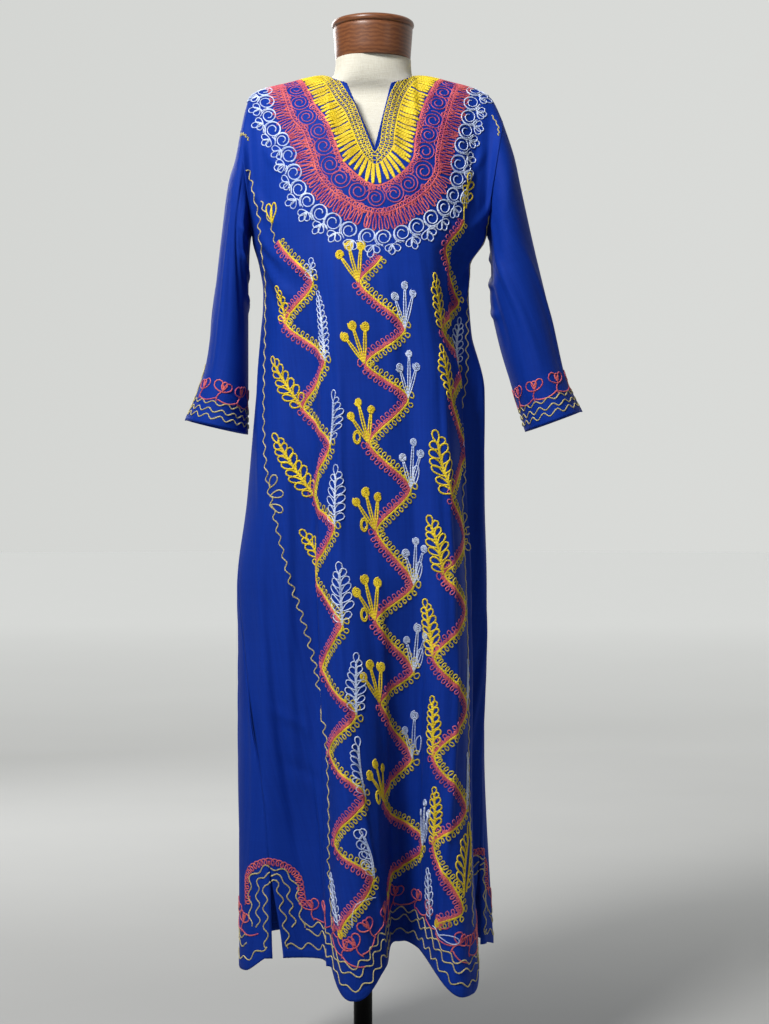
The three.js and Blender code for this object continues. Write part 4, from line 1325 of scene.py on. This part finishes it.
def hem_border(surface, lines):
    """Wavy lines and flowers over the hem, and the borders of both side slits."""
    left, right = surface.flat[0, 0, 0], surface.flat[0, -1, 0]

    def over_hem(height, inset, count):
        x = np.linspace(left + inset, right - inset, count)
        return Path(np.stack([x, surface.hem_y(x) + height], -1))

    for k, (height, inset) in enumerate(HEM_LINES):
        lines["cream"].append(waves(over_hem(height, inset, 160), *WAVES["hem"], k * 1.3))
    flowers(over_hem(*HEM_FLOWERS, 120), lines)
    slit_top = SLIT_TOP_Z - UNDERARM_Z
    for side in (-1, 1):
        low = surface.hem_y(surface.edge_x(HEM_Z - UNDERARM_Z, side)) + 14
        for k, inset in enumerate(SLIT_INSETS):
            foot = low if k == 0 else low + 30
            path = slit_path(surface, side, inset, inset * SLIT_ROUND, foot, slit_top - 45)
            lines["cream"].append(waves(path, *WAVES["slit"], k * 2.0))
        path = slit_path(surface, side, *SLIT_LOOPS, low + 60, slit_top - 38)
        lines["coral"].append(loops(path, 7.5, 11, 8.0, 0, -side))


def cuff_border(surface, lines):
    """Wavy lines, flowers and the slit's border at a cuff."""
    right = surface.flat[0, -1, 0]

    def over_cuff(height, inset, count):
        x = np.linspace(inset, right - inset, count)
        return Path(np.stack([x, np.full_like(x, float(height))], -1))

    for k, height in enumerate(CUFF_LINES):
        lines["cream"].append(waves(over_cuff(height, 8 + 4 * k, 120), *WAVES["cuff"], k * 1.4))
    flowers(over_cuff(*CUFF_FLOWERS, 80), lines)
    for inset in CUFF_SLIT_INSETS:
        for x in (inset, right - inset):
            path = Path([(x, y) for y in np.linspace(14, 74 + inset, 20)])
            lines["cream"].append(waves(path, *WAVES["cuff_slit"], inset))


def middle_berries(lines):
    """Yellow and white berries by turns beside the middle zigzag, with white leaves low down."""
    for k, turn in enumerate(ZIGZAGS["centre"][:-1]):
        turn = np.array(turn, float)
        if k % 2 == 1:
            ring = YELLOW_RINGS["at"] if k in YELLOW_RINGS["turns"] else None
            lines["yellow"] += berries(turn, *YELLOW_BERRIES, ring)
        elif k > 0:
            lines["white"] += berries(turn, *(TWO_WHITE_BERRIES if k == TWO_BERRIES_TURN else WHITE_BERRIES))
            if k >= LOW_LEAVES_FROM:
                lines["white"].append(petal(turn + np.array((7, 6)), 6, 28, 9))


def sprigs(lines):
    """The plants that are like no other: at the tops and the foot of the outer zigzags, and by the hem."""
    top = np.array(ZIGZAGS["left"][0], float) + np.array((-6, -4))
    sprig = Path([top, top + np.array((-8, 34)), top + np.array((-22, 64))])
    lines["cream"].append(waves(sprig, *WAVES["sprig"]))
    for heading in (-14, 8):
        lines["yellow"].append(petal(top + np.array((-2, 30)), heading, 30, 9))
    top = np.array(ZIGZAGS["right"][0], float)
    for k, heading in enumerate((-28, 36, -24, 40, 4)):
        lines["yellow"].append(petal(top + np.array((4, 18 + 9 * k)), heading, 17, 9))
    lines["yellow"].append(stem(top, top + np.array((5, 58)), 3))
    foot = np.array(ZIGZAGS["left"][-2], float)
    lines["white"].append(stem(foot + np.array((-2, -28)), (-150, -1000), -16))
    for k in range(4):
        curl = foot + np.array((-9, 18 + 15 * k))
        lines["white"].append(spiral(curl, 6.4 * jitter(0.08), 1.2, 90, 1, 0.95))
    lines["white"] += [petal((104, -1018), 104, 34, 11), stem((86, -1008), (106, -1018), 2)]
    for colour, plants in HEM_FRONDS.items():
        for x, y, *shape in plants:
            lines[colour] += frond((x, y), *shape)


def side_lines(lines):
    """Wavy lines down both sides, each with a motif of three leaves, and single stitches at the shoulders."""
    for points in SHOULDER_STITCHES:
        lines["cream"].append(waves(Path(points), *WAVES["shoulder"]))
    for side in (-1, 1):
        line = Path(through(SIDE_LINES[side], np.linspace(0, 1, 240)))
        lines["cream"].append(waves(line, *WAVES["side"], side))
        x, y = SIDE_MOTIFS[side]
        for heading, rise in ((32, 12), (76, 0), (120, -12)):
            lines["cream"].append(petal((x, y + rise), heading, 21 * jitter(0.1), 11))


def front_stitches(surface, lines):
    neck_band_front(surface, lines)
    for name, turns in ZIGZAGS.items():
        turns = np.array(turns, float)
        zigzag(turns, lines)
        for colour, plants in FRONDS.items():
            for k, *shape in plants.get(name, []):
                lines[colour] += frond(turns[k], *shape)
    middle_berries(lines)
    sprigs(lines)
    side_lines(lines)
    hem_border(surface, lines)


def back_stitches(surface, lines):
    neck_band_back(surface, lines)
    hem_border(surface, lines)


# Materials
def node_tree(name):
    material = bpy.data.materials.new(name)
    material.use_nodes = True
    tree = material.node_tree
    return material, tree, tree.nodes["Principled BSDF"]


def fed(tree, node, source, socket, values):
    """A node with a source linked to one of its sockets and constant values on others."""
    tree.links.new(source, node.inputs[socket])
    for key, value in values.items():
        node.inputs[key].default_value = value
    return node


def coordinates(tree, kind):
    return tree.nodes.new("ShaderNodeTexCoord").outputs[kind]


def noise(tree, vector, scale, detail, rough=0.5):
    node = tree.nodes.new("ShaderNodeTexNoise")
    fed(tree, node, vector, "Vector", {"Scale": scale, "Detail": detail, "Roughness": rough})
    return node.outputs["Fac"]


def stretched(tree, vector, scale):
    node = tree.nodes.new("ShaderNodeMapping")
    return fed(tree, node, vector, "Vector", {"Scale": scale}).outputs["Vector"]


def fibres(tree, vector, scale, detail, rough=0.5):
    """Noise drawn out by a scale for each axis."""
    return noise(tree, stretched(tree, vector, scale), 1.0, detail, rough)


def ramp(tree, factor, stops):
    node = tree.nodes.new("ShaderNodeValToRGB")
    elements = node.color_ramp.elements
    while len(elements) < len(stops):
        elements.new(0.5)
    for element, (place, colour) in zip(elements, stops):
        element.position = place
        element.color = (*colour, 1)
    tree.links.new(factor, node.inputs["Fac"])
    return node.outputs["Color"]


def blended(tree, a, b, factor, mode="MIX"):
    node = tree.nodes.new("ShaderNodeMix")
    node.data_type = "RGBA"
    node.blend_type = mode
    node.inputs["Factor"].default_value = factor
    tree.links.new(a, node.inputs["A"])
    tree.links.new(b, node.inputs["B"])
    return node.outputs["Result"]


def bumped(tree, shader, height, distance, strength, after=None):
    """Relief on a shader, in metres, over a first relief where there is one."""
    node = tree.nodes.new("ShaderNodeBump")
    fed(tree, node, height, "Height", {"Strength": strength, "Distance": distance})
    if after is not None:
        tree.links.new(after, node.inputs["Normal"])
    tree.links.new(node.outputs["Normal"], shader.inputs["Normal"])
    return node.outputs["Normal"]


def bands(tree, vector, direction, period):
    """Soft stripes across X or Y with a period in the vector's units."""
    node = tree.nodes.new("ShaderNodeTexWave")
    node.bands_direction = direction
    return fed(tree, node, vector, "Vector", {"Scale": 2 * math.pi / (20 * period)}).outputs["Fac"]


def weave(tree, vector, period):
    """Height of a plain weave: two sets of threads, one up where the other is down."""
    node = tree.nodes.new("ShaderNodeMath")
    node.operation = "ADD"
    for socket, direction in zip(node.inputs, "XY"):
        tree.links.new(bands(tree, vector, direction, period), socket)
    return node.outputs["Value"]


def cotton_material():
    material, tree, shader = node_tree("blue_cotton")
    uv = coordinates(tree, "UV")
    warp = fibres(tree, uv, (260, 9, 1), 3, 0.55)
    weft = fibres(tree, uv, (10, 300, 1), 2)
    broad = noise(tree, uv, 7.0, 3)
    lengthways = ramp(tree, warp, [(0.3, (0.0026, 0.023, 0.230)), (0.7, (0.0050, 0.038, 0.335))])
    crossways = ramp(tree, weft, [(0.3, (0.0030, 0.026, 0.248)), (0.7, (0.0046, 0.035, 0.315))])
    worn = ramp(tree, broad, [(0.35, (0.0030, 0.027, 0.250)), (0.75, (0.0048, 0.037, 0.322))])
    colour = blended(tree, blended(tree, lengthways, crossways, 0.4), worn, 0.4)
    fed(tree, shader, colour, "Base Color", {
        "Roughness": 0.62,
        "Specular IOR Level": 0.08,
        "Sheen Weight": 0.02,
        "Sheen Roughness": 0.4,
        "Sheen Tint": (0.25, 0.4, 1.0, 1),
    })
    fine = bumped(tree, shader, weave(tree, uv, 0.0009), 0.00012, 0.5)
    slub = fibres(tree, uv, (420, 26, 1), 2)
    bumped(tree, shader, slub, 0.0005, 0.5, fine)
    return material


def thread_material(name, low, high):
    material, tree, shader = node_tree(name)
    broad = noise(tree, coordinates(tree, "Object"), 45.0, 2)
    colour = ramp(tree, broad, [(0.3, low), (0.7, high)])
    fed(tree, shader, colour, "Base Color", {
        "Roughness": 0.55,
        "Specular IOR Level": 0.4,
        "Sheen Weight": 0.05,
        "Sheen Roughness": 0.4,
    })
    bumped(tree, shader, bands(tree, coordinates(tree, "UV"), "X", 0.0042), 0.0006, 0.6)
    return material


def linen_material():
    material, tree, shader = node_tree("linen")
    place = coordinates(tree, "Object")
    warp = fibres(tree, place, (900, 900, 60), 2, 0.6)
    weft = fibres(tree, place, (60, 60, 900), 2, 0.6)
    lengthways = ramp(tree, warp, [(0.3, (0.58, 0.55, 0.45)), (0.7, (0.72, 0.71, 0.63))])
    crossways = ramp(tree, weft, [(0.3, (0.61, 0.58, 0.48)), (0.7, (0.72, 0.71, 0.63))])
    colour = blended(tree, lengthways, crossways, 0.5)
    fed(tree, shader, colour, "Base Color", {"Roughness": 0.88, "Sheen Weight": 0.12})
    first = bumped(tree, shader, warp, 0.0006, 0.6)
    bumped(tree, shader, weft, 0.0006, 0.6, first)
    return material


def wood_material():
    material, tree, shader = node_tree("wood")
    place = coordinates(tree, "Object")
    wave = tree.nodes.new("ShaderNodeTexWave")
    wave.wave_type = "RINGS"
    wave.rings_direction = "Y"
    along_grain = stretched(tree, place, (1, 0.35, 1))
    fed(tree, wave, along_grain, "Vector", {"Scale": 52, "Distortion": 5.5, "Detail": 3, "Detail Scale": 1.4})
    grain = ramp(tree, wave.outputs["Fac"], [(0.2, (0.11, 0.034, 0.012)), (0.8, (0.21, 0.074, 0.025))])
    pores = fibres(tree, place, (60, 60, 900), 3, 0.6)
    tone = ramp(tree, pores, [(0.35, (0.12, 0.037, 0.013)), (0.75, (0.22, 0.080, 0.028))])
    colour = blended(tree, grain, tone, 0.45)
    fed(tree, shader, colour, "Base Color", {"Roughness": 0.42, "Coat Weight": 0.22, "Coat Roughness": 0.22})
    bumped(tree, shader, pores, 0.0003, 0.4)
    return material


def iron_material():
    material, tree, shader = node_tree("black_iron")
    place = coordinates(tree, "Object")
    speckle = noise(tree, place, 600.0, 3, 0.6)
    broad = noise(tree, place, 14.0, 2)
    colour = ramp(tree, broad, [(0.3, (0.0015, 0.0015, 0.0018)), (0.7, (0.003, 0.003, 0.0034))])
    fed(tree, shader, colour, "Base Color", {"Specular IOR Level": 0.12, "Roughness": 0.45})
    bumped(tree, shader, speckle, 0.0003, 0.35)
    return material


def share_of(tree, source, reach):
    """A distance as a share of a reach, from 0 to 1."""
    node = tree.nodes.new("ShaderNodeMapRange")
    return fed(tree, node, source, "Value", {"From Max": reach}).outputs["Result"]


def floor_material():
    material, tree, shader = node_tree("studio_floor")
    place = coordinates(tree, "Object")
    away = tree.nodes.new("ShaderNodeVectorMath")
    away.operation = "LENGTH"
    tree.links.new(place, away.inputs[0])
    spread = ramp(tree, share_of(tree, away.outputs["Value"], FLOOR_REACH), FLOOR_COLOURS)
    cloudy = ramp(tree, noise(tree, place, 1.6, 3), [(0.3, (0.96, 0.96, 0.96)), (0.7, (1, 1, 1))])
    colour = blended(tree, spread, cloudy, 1.0, "MULTIPLY")
    fed(tree, shader, colour, "Base Color", {"Roughness": 0.9, "Specular IOR Level": 0.1})
    apart = tree.nodes.new("ShaderNodeSeparateXYZ")
    tree.links.new(place, apart.inputs[0])
    glow = ramp(tree, share_of(tree, apart.outputs["Y"], GLOW_REACH), FLOOR_GLOW)
    fed(tree, shader, glow, "Emission Color", {"Emission Strength": 1.0})
    return material


# Looks: a material and the slot that it stands for
COTTON = (cotton_material(), "blue_cotton")
LINEN = (linen_material(), "linen")
WOOD = (wood_material(), "wood")
IRON = (iron_material(), "black_iron")
THREAD_MATERIALS = {
    colour: thread_material(name, low, high) for colour, (name, _, low, high, _, _) in THREADS.items()
}


# Pieces
def embroidered(piece, surface, lines):
    found = []
    for colour, drawn in lines.items():
        if drawn:
            name = f"{piece}_{colour}_stitches"
            _, slot, _, _, width, lift = THREADS[colour]
            found.append(stitched(name, surface, drawn, width, lift, (THREAD_MATERIALS[colour], slot)))
    return found


def seam_tube(name, points, normal, sizes):
    """A sewn seam or bound edge along points on the cloth."""
    deep, width, height = sizes
    points = points - normal * deep
    both = np.concatenate([points, normal], axis=1)
    lengths = distances(points)
    at = np.linspace(0, lengths[-1], max(3, int(lengths[-1] / SEAM_STEP)))
    drawn = straight(at, lengths, both)
    return tubes(name, [(drawn[:, :3], unit(drawn[:, 3:]), at)], width, height, COTTON)


def seams():
    """Seams at the sides, shoulders and armholes, and the turned edge of the neck."""
    found = {piece: [] for piece in CUTS}
    front, back = cloth["front"], cloth["back"]
    shares = np.linspace(-1, 1, COLUMNS["front"] + 1)
    for side, sign, front_column, back_column in (("left", -1, 0, -1), ("right", 1, -1, 0)):
        rows = np.flatnonzero(front.points[: skirt_rows + 1, front_column, 2] > SLIT_TOP_Z)
        rows = np.arange(rows[0], skirt_rows + 1)
        points = (front.points[rows, front_column] + back.points[rows, back_column]) / 2
        normal = front.normals[rows, front_column]
        found["front"].append(seam_tube(f"side_seam_{side}", points, normal, FLAT_SEAM))
        points, rim, across, _ = armhole(side)
        points = points + across * ARMHOLE_GAP / 2
        found[side].append(seam_tube(f"armhole_seam_{side}", points, rim, ARMHOLE_SEAM))
        columns = np.flatnonzero(shares * sign >= NECK_SHARE)
        points = front.points[-1, columns] + np.array((0, SEAM_GAP / 2, 0))
        normal = front.normals[-1, columns]
        found["front"].append(seam_tube(f"shoulder_seam_{side}", points, normal, FLAT_SEAM))
    for piece in ("front", "back"):
        points, normal = cloth[piece].points[-1], cloth[piece].normals[-1]
        at_neck = np.abs(np.linspace(-1, 1, len(points))) <= NECK_SHARE + SHARE_SLACK
        found[piece].append(seam_tube(f"neck_edge_{piece}", points[at_neck], normal[at_neck], NECK_EDGE))
    return found


def garment():
    """The four pieces of cloth, each with its stitches, and the seams."""
    draw = {"front": front_stitches, "back": back_stitches, "left": cuff_border, "right": cuff_border}
    sewn = seams()
    for piece, (node, size, area) in CUTS.items():
        obj = shell(node.replace("kaftan", "cloth"), cloth[piece], COTTON)
        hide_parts(node)
        lines = {colour: [] for colour in THREADS}
        draw[piece](cloth[piece], lines)
        stitches = embroidered(node, cloth[piece], lines)


def torso():
    z = np.linspace(FORM[0, 0], FORM[-1, 0], FORM_ROWS)
    reach = along(FORM, z) - FORM_INSET
    a = np.linspace(0, 2 * np.pi, FORM_SIDES, endpoint=False)
    s, c = np.sin(a), np.cos(a)
    x = np.sign(s) * np.abs(s) ** FORM_POWER * np.where(s < 0, reach[:, :1], reach[:, 1:2])
    y = NECK_Y - np.sign(c) * np.abs(c) ** FORM_POWER * np.where(c > 0, reach[:, 2:3], reach[:, 3:4])
    vertices = np.stack([x, y, np.broadcast_to(z[:, None], x.shape)], -1).reshape(-1, 3)
    r, k = (v.ravel() for v in np.meshgrid(np.arange(FORM_ROWS - 1), np.arange(FORM_SIDES), indexing="ij"))
    nxt = (k + 1) % FORM_SIDES
    faces = np.stack([r * FORM_SIDES + k, r * FORM_SIDES + nxt, (r + 1) * FORM_SIDES + nxt,
                      (r + 1) * FORM_SIDES + k], -1).tolist()
    top = (FORM_ROWS - 1) * FORM_SIDES
    faces.append(list(range(FORM_SIDES - 1, -1, -1)))
    faces.append([top + k for k in range(FORM_SIDES)])
    obj = made("dress_form", vertices, faces, LINEN)
    obj.data.set_sharp_from_angle(angle=math.radians(FORM_SHARP_DEG))
    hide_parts("form_torso")
    return obj


def rounded(radius, height, edge):
    """Profile of a disc or rod with rounded edges."""
    bend = np.radians(np.linspace(0, 90, 5))
    low = [(radius - edge + edge * math.sin(b), edge - edge * math.cos(b)) for b in bend]
    high = [(radius - edge + edge * math.cos(b), height - edge + edge * math.sin(b)) for b in bend]
    return [(0, 0)] + low + high + [(0, height)]


def stand():
    turned("turned_cap", CAP_PROFILE, (NECK_X, NECK_Y, CAP_Z), WOOD, "form_neck_cap")
    flange_z = FORM[0, 0] - REST_GAP - FLANGE_HEIGHT
    flange = rounded(FLANGE_RADIUS, FLANGE_HEIGHT, FLANGE_EDGE)
    turned("flange", flange, (0, 0, flange_z), IRON, "form_flange")
    foot = BASE_HEIGHT + REST_GAP
    pole = rounded(POLE_RADIUS, flange_z - REST_GAP - foot, POLE_EDGE)
    turned("pole", pole, (0, 0, foot), IRON, "stand_pole")
    bore = POLE_RADIUS + REST_GAP
    shoulder = [(HUB_RADIUS - inset, HUB_HEIGHT - down) for inset, down in HUB_EDGE]
    mouth = [(bore + POLE_EDGE, HUB_HEIGHT), (bore, HUB_HEIGHT - POLE_EDGE), (bore, 0)]
    hub = [(bore, 0), (HUB_RADIUS, 0), *shoulder, *mouth]
    turned("hub", hub, (0, 0, foot), IRON, "stand_hub")
    slope = [(BASE_RADIUS - inset, height) for inset, height in BASE_EDGE]
    turned("base", [(0, 0), *slope, (0, BASE_HEIGHT)], (0, 0, 0), IRON, "stand_base")


def studio():
    scene = bpy.context.scene
    scene.view_settings.view_transform = "Standard"
    camera = bpy.data.cameras.new("camera")
    camera.lens = LENS
    camera.sensor_width = SENSOR
    holder = bpy.data.objects.new("camera", camera)
    holder.location = CAMERA
    holder.rotation_euler = (math.radians(90), 0, 0)
    scene.collection.objects.link(holder)
    scene.camera = holder
    world = bpy.data.worlds.new("studio")
    world.use_nodes = True
    tree = world.node_tree
    facing = tree.nodes.new("ShaderNodeVectorMath")
    facing.operation = "DOT_PRODUCT"
    facing.inputs[1].default_value = Vector(SKY_DIRECTION).normalized()
    tree.links.new(coordinates(tree, "Generated"), facing.inputs[0])
    ranged = tree.nodes.new("ShaderNodeMapRange")
    fed(tree, ranged, facing.outputs["Value"], "Value", {"From Min": -1})
    sky = ramp(tree, ranged.outputs["Result"], SKY)
    tree.links.new(sky, tree.nodes["Background"].inputs["Color"])
    scene.world = world
    for name, facts in LIGHTS.items():
        light = bpy.data.lights.new(name, "AREA")
        light.shape = "DISK"
        light.size = facts["size"]
        light.energy = facts["watts"]
        light.color = facts["colour"]
        lamp = bpy.data.objects.new(name, light)
        lamp.location = facts["at"]
        lamp.rotation_euler = (AIM - lamp.location).to_track_quat("-Z", "Y").to_euler()
        scene.collection.objects.link(lamp)
    ring = np.linspace(0, 2 * np.pi, FLOOR_SIDES, endpoint=False)
    mesh = bpy.data.meshes.new("studio_floor")
    corners = [(FLOOR_RADIUS * math.cos(a), FLOOR_RADIUS * math.sin(a), FLOOR_DEPTH) for a in ring]
    mesh.from_pydata(corners, [], [list(range(FLOOR_SIDES))])
    mesh.materials.append(floor_material())
    floor = bpy.data.objects.new("studio_floor", mesh)
    scene.collection.objects.link(floor)


studio()
TORSO = torso()
stand()
garment()

bpy.context.view_layer.update()
